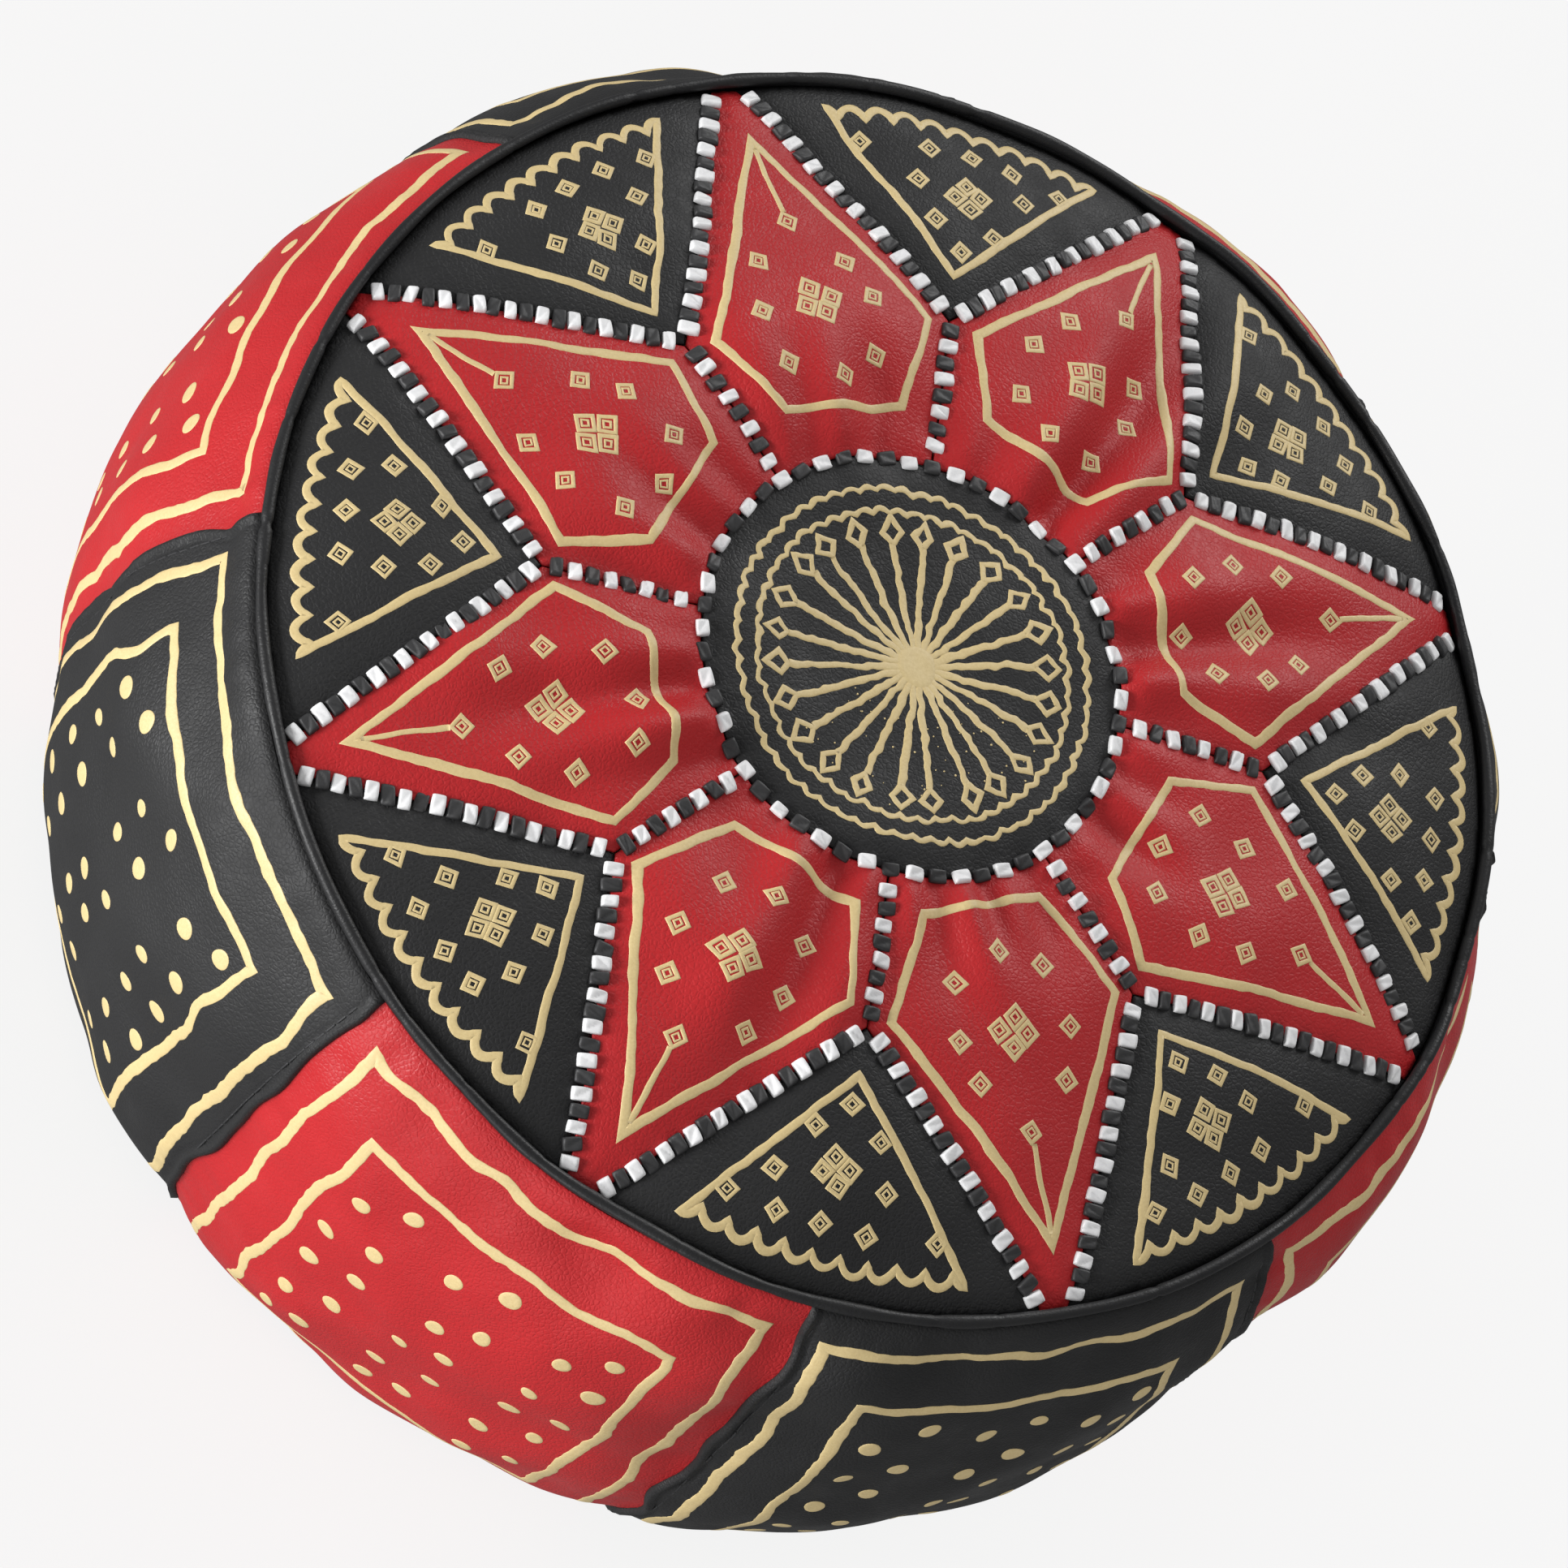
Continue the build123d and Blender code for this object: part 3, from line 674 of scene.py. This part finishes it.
# ---- side panels: black laps over red with a rolled, stitched edge
def side_panel(i):
    black = i % 2 == 1
    middle = SECTOR * i
    half = HALF if black else HALF + RED_LAP / SIDE_ROUND
    columns, rows = 104, 96
    u = np.linspace(-1, 1, columns)
    u = np.sign(u) * (1 - (1 - np.abs(u)) ** 1.12)
    share = np.sin(np.linspace(math.pi / 2, -math.pi / 2, rows))
    wobble = noise(40 + i, 42)
    a, s = np.meshgrid(middle + half * u, share)
    flat_a, flat_s = a.ravel(), s.ravel()
    r, z = side_base(flat_s)
    edge = (half - np.abs(flat_a - middle)) * r
    if black:
        # a rolled edge, with the groove that the stitches pull in behind it
        lift = BLACK_LIFT + 1.25 * bell(edge - 1.7, 1.5) - 0.75 * bell(edge - SIDE_STITCH_IN, 0.85)
        lift -= 1.3 * np.clip(1 - edge / 0.9, 0, 1) ** 2
        lift += 0.16 * np.cos(z * TURN / SIDE_STITCH_STEP) * bell(edge - 2.2, 2.0)
        which = np.sign(flat_a - middle)
        at = np.stack([90 * which, 90 * which, z + 90 * which], -1)
        shift = which * bell(edge, 30) * 2.0 * wobble(at) / r
        flat_a = flat_a + shift * smooth((1 - np.abs(flat_s)) / 0.1)
    else:
        lift = RED_LIFT - 0.55 + 0.55 * smooth((edge - 9) / 10)
    lift = lift * smooth((1 - np.abs(flat_s)) / 0.02 + 0.3)
    outer = side_skin(flat_a, flat_s, lift)
    inner = side_skin(flat_a, flat_s, lift - LEATHER)
    points, faces = thickened(outer, grid_faces(rows, columns), inner)
    material, slot = (BLACK, "leather_black") if black else (RED, "leather_red")
    new_piece(f"side_panel_leather_{i + 1}", points, flipped(faces), material, [f"side_panel_{i + 1}"])


for i in range(PANELS):
    side_panel(i)


# ---- piping
RING = np.linspace(0, TURN, 900, endpoint=False)
AT_RING = ring_points(SEAM_R, RING)


def piping_course(up):
    """The wandering centre line of one piping: its radius and height round the ring."""
    sway = noise(60 + up, 85)
    radius = SEAM_R + 0.7 * sway(AT_RING)
    if up > 0:
        return radius, TOP_SEAM_Z + 2.4 + seam_sway(RING)
    return radius, np.full(len(RING), BASE_SEAM_Z - PIPE_LIFT + 0.85)


def rolled(radius, height, size, section):
    """A closed tube round the ring; size may vary round it."""
    count = len(RING)
    points, faces = [], []
    for k in range(section):
        turned = TURN * k / section
        points.append(ring_points(radius + size * math.cos(turned), RING, height + size * math.sin(turned)))
        faces += band(k * count, (k + 1) % section * count, count)
    return np.concatenate(points), flipped(faces)


def piping(where, up):
    radius, height = piping_course(up)
    swell, crimp = noise(63 + up, 34), noise(66 + up, 8)
    pinch = np.clip(crimp(AT_RING) - 0.75, 0, 1)
    size = (2.35 + 0.2 * swell(AT_RING) if up > 0 else PIPE_R + 0.3) - 0.7 * pinch
    size = np.maximum(size, PIPE_CORD_R + 0.35)
    points, faces = rolled(radius, height, size, 16)
    start, count = len(points), len(RING)
    # the flange that is sewn into the seam
    foot = BASE_SEAM_Z + 10 if up < 0 else TOP_SEAM_Z - 10
    corners = ((249.3, height), (250.6, height), (250.6, foot), (249.3, foot))
    flange = [ring_points(r, RING, z) for r, z in corners]
    for k in range(4):
        b, c = start + k * count, start + (k + 1) % 4 * count
        sides = [(b + j, b + (j + 1) % count, c + (j + 1) % count, c + j) for j in range(count)]
        faces += sides if up > 0 else flipped(sides)
    points = np.concatenate([points, *flange])
    new_piece(f"{where}_piping_leather", points, faces, PIPING, [f"{where}_piping_cover"])
    points, faces = rolled(radius, height, PIPE_CORD_R, 10)
    new_piece(f"{where}_piping_filler", points, faces, CANVAS, [f"{where}_piping_cord"])


piping("top", 1)
piping("base", -1)


# ---- lacing
def stitch_shape(long, wide, high):
    """A short bar of folded lace along X, in mm: its grid, dome, top rows, underside and faces."""
    rows, columns = 15, 11
    a = np.sin(np.linspace(-math.pi / 2, math.pi / 2, rows))
    b = np.sin(np.linspace(-math.pi / 2, math.pi / 2, columns))
    along, across = [g.ravel() for g in np.meshgrid(a, b, indexing="ij")]
    dome = (1 - np.abs(along) ** 8) ** 0.45 * (1 - np.abs(across) ** 8) ** 0.42
    x = along * long / 2 * (1 - 0.05 * across**2)
    y = across * wide / 2 * (1 - 0.08 * along**2)
    top = np.stack([x, y, dome * high - 0.75], -1)
    under = top * (0.96, 0.96, 0) + (0, 0, -0.95)
    return along, across, dome, top, under, flipped(grid_faces(rows, columns))


def laid(shell, origin, ahead, aside):
    """The shell's points in the frame whose X runs from origin to ahead, and whose Y is towards aside."""
    ux = (ahead - origin) / np.linalg.norm(ahead - origin)
    n = np.cross(ux, aside - origin)
    n /= np.linalg.norm(n)
    return origin + shell @ np.stack([ux, np.cross(n, ux), n])


# Where the leather bulges round the lacing: the radius and azimuth in degrees, how far the place reaches and
# how much deeper the stitches lie there.
SWALLOWED = (
    (85, 100, 34, 0.85), (85, 132, 34, 0.85), (85, 205, 26, 0.6), (178, 212, 24, 1.1), (205, 66, 22, 0.7),
    (190, 160, 20, 0.6), (200, 338, 22, 0.7), (112, 292, 14, 0.6),
)


def swallowed(x, y):
    return sum(
        depth * bell(math.dist((x, y), polar(r, math.radians(a))), reach) for r, a, reach, depth in SWALLOWED
    )


def lacing(name, frames, long, wide, high, material, replaced, seed):
    """A row of lace bars; each frame is a bar's place in plan and its heading."""
    rng = np.random.default_rng(seed)
    along, across, dome, top, under, faces = stitch_shape(long, wide, high)
    points, all_faces, start = [], [], 0
    for x, y, heading in frames:
        p = top.copy()
        scale = 1 + rng.normal(0, 0.05, 3)
        slant = rng.choice((-1, 1)) * rng.uniform(0.5, 1.1)
        fold = (across + slant * along + rng.normal(0, 0.15)) / math.hypot(1, slant)
        facets = 0.34 * np.abs(fold) - 0.34 * bell(fold, 0.16) + 0.22 * np.tanh(fold / 0.1)
        tilt = along * rng.normal(0, 0.16) + across * rng.normal(0, 0.16)
        sunk = 0.25 * abs(rng.normal()) + (0.75 if rng.random() < 0.12 else 0) + swallowed(x, y)
        p[:, 2] += dome * (facets + tilt)
        p *= scale
        q = under * scale
        skew = rng.normal(0, 0.07)
        for part in (p, q):
            part[:, 1] += part[:, 0] * skew
        yaw = heading + rng.normal(0, 0.07)
        x, y = x + rng.normal(0, 0.22), y + rng.normal(0, 0.22)
        shell, shell_faces = thickened(p, faces, q)
        xs = np.array([x, x + math.cos(yaw), x - math.sin(yaw)])
        ys = np.array([y, y + math.sin(yaw), y + math.cos(yaw)])
        points.append(laid(shell, *(top_skin(xs, ys) + (0, 0, 1.1 - sunk))))
        all_faces += [tuple(i + start for i in f) for f in shell_faces]
        start += len(shell)
    new_piece(name, np.concatenate(points), all_faces, material, [replaced])


def seam_run(start, end, angle, count, first, last):
    """Frames of the stitches across a seam, between two shares of its length; white and black in turn."""
    start, end = turn([start], angle)[0], turn([end], angle)[0]
    heading = math.atan2(end[1] - start[1], end[0] - start[0]) + math.pi / 2
    run = [(*(start + (end - start) * s), heading) for s in np.linspace(first, last, count)]
    return run[0::2], run[1::2]


def all_stitches():
    """For each kind of lacing its white and black frames, and the bars' length and width."""
    star, petal = [[], []], [[], []]
    for i in range(PANELS):
        for flip in (MIRROR, 1):
            white, black = seam_run(J * flip, T * flip, SECTOR * i, STAR_STITCHES, 0.055, 0.935)
            star[0] += white
            star[1] += black
        white, black = seam_run(M, J, SECTOR * i, PETAL_STITCHES, 0.14, 0.92)
        petal[0] += white
        petal[1] += black
    angles = [TURN / CENTRE_STITCHES * (k + 0.5) for k in range(CENTRE_STITCHES)]
    ring = [(*polar(MEDALLION_R, a), a + math.pi / 2) for a in angles]
    centre = (ring[0::2], ring[1::2])
    return {"star": (star, 7.6, 5.3), "petal": (petal, 7.6, 5.3), "centre": (centre, 7.2, 5.6)}


LACES = (("white", WHITE_LACE, 2.3), ("black", BLACK_LACE, 2.0))  # colour, material and height of the bars
for number, (group, (runs, long, wide)) in enumerate(all_stitches().items()):
    for which, (colour, material, high) in enumerate(LACES):
        lacing(
            f"{group}_lace_{colour}", runs[which], long, wide, high, material,
            f"{group}_lacing_{colour}", 100 + 2 * number + which,
        )


# ---- the stitching up the edges of the black side panels
def side_seam_stitches():
    _, _, _, top, under, faces = stitch_shape(5.8, 0.8, 0.9)
    shell, shell_faces = thickened(top, faces, under)
    points, all_faces = [], []
    for i in range(1, PANELS, 2):
        for side in (-1, 1):
            for share in np.linspace(-0.92, 0.92, SIDE_STITCHES):
                radius = side_base(share)[0]
                angle = SECTOR * i + side * (HALF - SIDE_STITCH_IN / radius)
                angles = np.array([angle, angle, angle - 0.004])
                shares = np.array([share, share + 0.004, share])
                all_faces += [tuple(k + len(points) * len(shell) for k in f) for f in shell_faces]
                points.append(laid(shell, *side_skin(angles, shares, 0.65)))
    new_piece("side_seam_stitches", np.concatenate(points), all_faces, THREAD, ["side_seam_thread"])


side_seam_stitches()


# ---- gilding: thin raised paint on the skin
class Gilding:
    """Collects painted strokes and spots of one panel. to_skin maps local plan points and a lift to 3-D."""

    def __init__(self, to_skin, seed):
        self.to_skin, self.rng = to_skin, np.random.default_rng(seed)
        self.points, self.faces, self.size = [], [], 0

    def add(self, plan, lift, faces):
        self.points.append(self.to_skin(plan, lift))
        self.faces += [tuple(i + self.size for i in f) for f in faces]
        self.size += len(plan)

    def stroke(
        self, corners, width, closed=True, wobble=0.5, ragged=0.10, step=1.4, wave=22, sharp=2.2, rough=7
    ):
        """A line of paint through the corners, its sides and course slightly uneven.

        Its course sways by wobble over wave mm, its edges by ragged widths over rough mm. sharp limits how
        far a corner may point, in widths.
        """
        corners = np.asarray(corners, float)
        ends = zip(corners, np.roll(corners, -1, 0)) if closed else zip(corners[:-1], corners[1:])
        line = []
        for a, b in ends:
            n = max(1, int(round(np.linalg.norm(b - a) / step)))
            line += [a + (b - a) * k / n for k in range(n)]
        if not closed:
            line.append(corners[-1])
        line = np.array(line)
        if closed:
            before, after = line - np.roll(line, 1, 0), np.roll(line, -1, 0) - line
        else:
            gaps = np.diff(line, axis=0)
            before, after = np.concatenate([gaps[:1], gaps]), np.concatenate([gaps, gaps[-1:]])
        before = unit(before)
        t = unit(before + unit(after))
        n = np.stack([-t[:, 1], t[:, 0]], -1)
        mitre = 1 / np.clip((n * np.stack([-before[:, 1], before[:, 0]], -1)).sum(1), 1 / sharp, 1)
        seed = int(self.rng.integers(1 << 30))
        course, left, right = noise(seed, wave), noise(seed + 1, rough), noise(seed + 2, rough)
        slow = noise(seed + 3, 40)
        at = np.concatenate([line, 0 * line[:, :1]], 1)
        line = line + n * (wobble * course(at))[:, None]
        thick = width * (1 + 0.10 * slow(at))
        sides = [-0.5 * thick * (1 + ragged * left(at)), 0.5 * thick * (1 + ragged * right(at))]
        sides = [s * mitre for s in sides]
        shape = ((0, -0.12), (0.10, 0.13), (0.35, 0.2), (0.65, 0.2), (0.9, 0.13), (1, -0.12))
        plan, lift = [], []
        for share, height in shape:
            plan.append(line + n * (sides[0] * (1 - share) + sides[1] * share)[:, None])
            lift.append(np.full(len(line), height))
        count, rows = len(line), len(shape)
        faces = [f for k in range(rows) for f in band(k * count, (k + 1) % rows * count, count, closed)]
        if not closed:
            faces.append(tuple(k * count for k in range(rows)))
            faces.append(tuple(k * count + count - 1 for k in reversed(range(rows))))
        self.add(np.concatenate(plan), np.concatenate(lift), flipped(faces))

    def spot(self, centre, radius, turn_by=0.0, stretch=1.0, raised=0.0):
        """A filled round spot."""
        count = 22
        a = np.linspace(0, TURN, count, endpoint=False)
        uneven = 1 + 0.05 * np.cos(2 * a + self.rng.uniform(0, 6))
        uneven += 0.03 * np.cos(3 * a + self.rng.uniform(0, 6))
        rim = turn(polar(radius * uneven, a) * (1, stretch), turn_by)
        rings = [(1.0, -0.12), (0.9, 0.13), (0.62, 0.2), (0.3, 0.2)]
        plan = np.concatenate([rim * s for s, _ in rings] + [[[0, 0]]]) + centre
        lift = np.concatenate([np.full(count, h) for _, h in rings] + [[0.2]]) + raised
        faces = grid_faces(len(rings), count, closed=True)
        faces += [(3 * count + j, 3 * count + (j + 1) % count, 4 * count) for j in range(count)]
        faces.append(tuple(reversed(range(count))))
        self.add(plan, lift, faces)

    def square(self, centre, half, angle):
        """Two nested square rings of paint."""
        angle = angle + self.rng.normal(0, 0.06)
        skew = self.rng.normal(0, 0.05)
        for size, width in ((half * 0.76, half * 0.48), (half * 0.32, half * 0.24)):
            corners = np.array([(1, 1), (-1, 1), (-1, -1), (1, -1)], float) * size
            corners[:, 0] += corners[:, 1] * skew
            corners = corners + self.rng.normal(0, 0.06 * size, corners.shape)
            self.stroke(turn(corners, angle) + centre, width, wobble=0.0, ragged=0.06, step=half * 0.22)

    def finish(self, name):
        new_piece(name, np.concatenate(self.points), self.faces, GILT)


def on_top(angle):
    def to_skin(plan, lift):
        p = turn(plan, angle)
        return top_skin(p[:, 0], p[:, 1], lift)

    return to_skin


def cluster(gilding, centre, angle, half):
    """Four squares, set together as one larger square."""
    for corner in ((1, 1), (-1, 1), (-1, -1), (1, -1)):
        spread = np.array(corner) * half * 1.03
        place = np.array(centre) + turn([spread], angle)[0] + gilding.rng.normal(0, 0.22, 2)
        gilding.square(place, half, angle)


# How near each petal's outline comes to the middle, and the squares' places in plan.
PETAL_INNER_SIDE = (105.5, 107.5, 107.5, 103.5, 108.5, 106.5, 100.5, 97.5)
PETAL_SQUARES = ((166, 18), (165, -17), (146, 24), (147, -23), (124, 20), (124, -18), (116, 1))
TRIANGLE_SQUARES = (
    (219, -42), (223, -22), (224, -4), (223, 13), (219, 41), (208, -26), (207, 17), (189, -14), (190, 11),
    (179, -1.5),
)


def jittered(rng, points, amount):
    return np.asarray(points, float) + rng.normal(0, amount, np.shape(points))


for i in range(PANELS):
    g = Gilding(on_top(SECTOR * i), 200 + i)
    rng = np.random.default_rng(220 + i)
    inner = PETAL_INNER_SIDE[i]
    outline = jittered(rng, [(223, 0), (136.5, 46.5), (inner, 25.5), (inner, -25.5), (136.5, -46.5)], 1.0)
    g.stroke(outline, 3.9, wobble=0.35)
    tilt = math.radians(31) * (1 if i % 3 else -1)
    lead = jittered(rng, [(184, 0)], 1.2)[0]
    g.stroke([outline[0] - (4, 0), lead + (4.4, 0)], 2.5, closed=False, wobble=0.3)
    g.square(lead, 3.7, tilt)
    for spot in jittered(rng, PETAL_SQUARES, 0.8):
        g.square(spot, 3.75, tilt)
    cluster(g, (147, 0), tilt, 4.0)
    g.finish(f"petal_gilding_{i + 1}")


def scallops(count, radius, half_angle, depth):
    """Outward bumps along an arc, from one end to the other."""
    out = []
    for k in range(count):
        for u in np.linspace(0, 1, 10, endpoint=False):
            a = half_angle * (2 * (k + u) / count - 1)
            out.append(polar(radius + depth * math.sin(math.pi * u) ** 0.7, a))
    return np.array(out)


for i in range(PANELS):
    g = Gilding(on_top(SECTOR * (i + 0.5)), 240 + i)
    rng = np.random.default_rng(260 + i)
    edge = scallops(11, 233.5, 0.266, 4.6)[4:-5]
    apex = jittered(rng, [(166, 0)], 1.0)
    g.stroke(np.concatenate([apex, edge]), 3.5, wobble=0.35, step=1.1, sharp=1.25)
    tilt = math.radians(34) * (1 if i % 2 else -1)
    for spot in jittered(rng, TRIANGLE_SQUARES, 0.6):
        g.square(spot, 3.6, tilt)
    cluster(g, (204, -3), tilt, 3.7)
    g.finish(f"triangle_gilding_{i + 1}")


def medallion_gilding():
    g = Gilding(on_top(0.0), 300)
    rng = np.random.default_rng(301)
    for radius, count, width in ((71.0, 58, 2.5), (62.6, 54, 2.4)):
        a = np.linspace(0, TURN, count * 8, endpoint=False)
        wave = np.abs(np.sin(a * count / 2))
        g.stroke(polar(radius + 1.5 * wave, a), width, wobble=0.5, ragged=0.26, step=1.0, wave=12, rough=4.5)
    hub = np.array([2.0, 1.5])
    for k in range(24):
        a = TURN * (k + 0.5) / 24 + rng.normal(0, 0.012)
        tip = polar(50.5, a)
        start = hub + polar(2.0 if k % 2 else 5.5, a)
        g.stroke([start, tip], 3.1, closed=False, wobble=0.35, ragged=0.2, step=0.9, wave=9, rough=4.5)
        u, v = polar(1, a), polar(1, a + math.pi / 2)
        across, ear = rng.uniform(3.4, 4.3), rng.uniform(3.8, 5.6)
        diamond = [tip, tip + u * ear + v * across, tip + u * 9.6, tip + u * ear - v * across]
        g.stroke(jittered(rng, diamond, 0.35), 2.5, wobble=0.1, ragged=0.16, step=0.9, rough=4.5)
    g.spot(hub, 8.8, raised=0.1)
    for _ in range(70):
        spread = polar(rng.uniform(20, 61), rng.uniform(-2.2, 0.1))
        g.spot(spread, rng.uniform(0.2, 0.45))
    g.finish("medallion_gilding")


medallion_gilding()


def on_side(middle, panel_lift):
    """Local plan: x in mm round the side, y in mm up it from the middle height."""
    shares = np.linspace(-1, 1, 401)
    r, z = side_base(shares)
    arc = np.concatenate([[0], np.cumsum(np.hypot(np.diff(r), np.diff(z)))])
    arc -= arc[200]

    def to_skin(plan, lift):
        share = np.interp(plan[:, 1], arc, shares)
        return side_skin(middle + plan[:, 0] / SIDE_ROUND, share, np.asarray(lift) + panel_lift)

    return to_skin, arc[-1]


def side_gilding(i):
    to_skin, top = on_side(SECTOR * i, BLACK_LIFT if i % 2 else RED_LIFT)
    g = Gilding(to_skin, 320 + i)
    rng = np.random.default_rng(340 + i)
    wide = SIDE_ROUND * SECTOR
    for inset, reach, width in ((17, 0.433, 5.5), (45, 0.32, 5.0)):
        x, y = wide * reach, top - inset
        corners = jittered(rng, [(-x, -y), (x, -y), (x, y), (-x, y)], 1.3)
        g.stroke(corners, width, wobble=1.5, ragged=0.12, step=2.0, wave=34)
    for group in (-1, 0, 1):
        for row in range(5):
            for column in (-1, 1):
                at = rng.normal(0, 1.7, 2) + (48 * group + 8.8 * column, 56 - 28 * row + 6 * column)
                g.spot(at, rng.uniform(3.9, 5.0), rng.uniform(0, 3), rng.uniform(0.78, 1.0))
    g.finish(f"side_gilding_{i + 1}")


for i in range(PANELS):
    side_gilding(i)


# ---- base
BASE_R = 249.0
RECESS_R, RECESS = 190.0, 10.0  # the middle of the base is drawn up, clear of the floor, for the zip
SLOT_HALF, SLOT_END = 6.6, 160.0  # the zip's opening


def base_height(r):
    rise = smooth((RECESS_R - r) / 22)
    curl = np.clip((r - 234) / 15, 0, 1)
    return RECESS * rise + BASE_SEAM_Z * curl**2.2


def base_half(name, side, replaced):
    """Half of the base, cut away for the zip; side is 1 for the rear half and -1 for the front one."""
    rows, columns = 90, 200
    share, a = np.meshgrid(np.linspace(0, 1, rows), np.linspace(0, math.pi, columns), indexing="ij")
    x, y = BASE_R * share * np.cos(a), BASE_R * share * np.sin(a)
    cut = 0.2 + (SLOT_HALF - 0.2) * smooth((SLOT_END + 3 - np.abs(x)) / 6)
    y = cut + y * (1 - cut / BASE_R)
    flat = np.stack([x.ravel(), y.ravel(), 0 * x.ravel()], -1) * side
    r = np.hypot(flat[:, 0], flat[:, 1])
    soft = (0.9 * side_lumps(flat) + 0.35 * gather(flat)) * smooth((182 - r) / 30)
    soft *= smooth((np.abs(flat[:, 1]) - 12) / 20)
    flat[:, 2] = base_height(r) + soft
    inner = flat + (0, 0, LEATHER)
    points, faces = thickened(flat, flipped(grid_faces(rows, columns)), inner)
    new_piece(name, points, faces, BLACK, [replaced])


base_half("base_leather_rear", 1, "base_panel_rear")
base_half("base_leather_front", -1, "base_panel_front")


# ---- the stuffing, which fills the cover
def filling_profile(clear):
    """The filling's (r, z) outline, that far inside the leather, from its top's middle to its base's."""
    shares = np.sin(np.linspace(math.radians(60), math.radians(-56), 60))
    r, z = side_base(shares)
    roof_r = np.linspace(0.5, 232, 26)
    roof = np.stack([roof_r, TOP_SEAM_Z + DOME * (1 - (roof_r / SEAM_R) ** 4) - clear], -1)
    wall = np.stack([r - clear, z], -1)
    floor = np.stack([np.linspace(223, 0.5, 24), np.full(24, RECESS + clear)], -1)
    return np.concatenate([roof, wall, floor])


def filling():
    columns = 180
    profile = filling_profile(14.0)
    r, z = np.repeat(profile[:, 0], columns), np.repeat(profile[:, 1], columns)
    a = np.tile(np.linspace(0, TURN, columns, endpoint=False), len(profile))
    r += 0.8 * (noise(401, 55)(ring_points(r, a, z)) - 1.0) * smooth(r / 30)
    faces = grid_faces(len(profile), columns, closed=True)
    last = (len(profile) - 1) * columns
    faces += [tuple(range(columns)), tuple(last + j for j in reversed(range(columns)))]
    points = ring_points(r, a, z)
    return new_piece("cotton_filling", points, flipped(faces), WADDING, ["cotton_stuffing"])


filling()

# ---- CAD pieces that stay get their materials
kept = {
    "zip_tape_rear": TAPE, "zip_tape_front": TAPE, "zip_teeth_rear": BRASS, "zip_teeth_front": BRASS,
    "zip_stops": BRASS, "zip_slider": BRASS, "zip_pull_tab": BRASS, "zip_seam_thread": THREAD,
    "liner_top": CANVAS, "liner_wall": CANVAS, "liner_base": CANVAS,
}
for name, material in kept.items():
    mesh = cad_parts[name].data
    mesh.materials.clear()
    mesh.materials.append(material)

# ---- camera, floor and light
eye = Vector((-419.7, -1733.4, 3088.7)) * MM
forward = Vector((0.1216, 0.5017, -0.8564)).normalized()
up = Vector((-0.5810, 0.7356, 0.3484))
right = forward.cross(up).normalized()
up = right.cross(forward)
camera = placed("camera", bpy.data.cameras.new("camera"))
camera.data.sensor_width = 36
camera.data.lens = 205.3
camera.data.clip_end = 50
camera.matrix_world = Matrix((right, up, -forward)).transposed().to_4x4()
camera.location = eye
bpy.context.scene.camera = camera


ROOM = 0.5  # brightness of the room's own light
ROOM_SHINE = 0.27  # and of the room where the leather mirrors it
BACKDROP = 0.93
FLOOR_GLOW = BACKDROP - 0.165 * ROOM


CENTRE = Vector((0, 0, 0.12))


def area_light(name, where, size, power):
    """A lamp aimed at the pouf; where is in metres, across and up in the picture and toward the camera."""
    across, upward, toward = where
    data = bpy.data.lights.new(name, "AREA")
    data.energy, data.size = power, size
    obj = placed(name, data)
    obj.location = CENTRE + right * across + up * upward - forward * toward
    obj.rotation_euler = (CENTRE - obj.location).to_track_quat("-Z", "Y").to_euler()
    return obj


lamps = (
    area_light("key", (-2.85, 0.35, 1.8), 1.3, 152),
    area_light("back_right", (1.95, 2.2, 0.0), 1.6, 50),
    area_light("fill", (-1.4, -2.2, 1.4), 1.6, 34),
)

mesh = bpy.data.meshes.new("floor")
mesh.from_pydata([(-30, -30, 0), (30, -30, 0), (30, 30, 0), (-30, 30, 0)], [], [(0, 1, 2, 3)])
floor_obj = placed("floor", mesh)
# The floor glows a little, like a lit sweep of paper, so that it stays evenly pale with only a faint shadow,
# and the pouf is lit by the lamps and the room alone.
floor_material, tree, bsdf = shader("pale_floor")
speckled = ramp(tree, clouds(tree, coordinates(tree), 3.0, 2.0), 0.4, 0.6, 0, 1)
set_inputs(tree, bsdf, {
    "Base Color": mixed(tree, speckled, (0.16, 0.16, 0.16), (0.17, 0.17, 0.17)), "Roughness": 0.9,
    "Specular IOR Level": 0, "Emission Color": (1, 1, 1, 1), "Emission Strength": FLOOR_GLOW,
})
mesh.materials.append(floor_material)
floor_obj.visible_diffuse = floor_obj.visible_glossy = False
unlit = bpy.data.collections.new("not_the_floor")
unlit.objects.link(floor_obj)
unlit.collection_objects[0].light_linking.link_state = "EXCLUDE"
for lamp in lamps:
    lamp.light_linking.receiver_collection = unlit

world = bpy.data.worlds.new("studio")
bpy.context.scene.world = world
world.use_nodes = True
nodes, links = world.node_tree.nodes, world.node_tree.links
room = nodes["Background"]
seen, mirrored = [nodes.new("ShaderNodeBackground") for _ in range(2)]
for background, strength in ((room, ROOM), (seen, BACKDROP), (mirrored, ROOM_SHINE)):
    set_inputs(world.node_tree, background, {"Color": (1, 1, 1, 1), "Strength": strength})
ray = nodes.new("ShaderNodeLightPath")
result = room.outputs[0]
for kind, other in (("Is Glossy Ray", mirrored), ("Is Camera Ray", seen)):
    split = nodes.new("ShaderNodeMixShader")
    links.new(ray.outputs[kind], split.inputs[0])
    links.new(result, split.inputs[1])
    links.new(other.outputs[0], split.inputs[2])
    result = split.outputs[0]
links.new(result, nodes["World Output"].inputs["Surface"])
bpy.context.scene.view_settings.view_transform = "Standard"
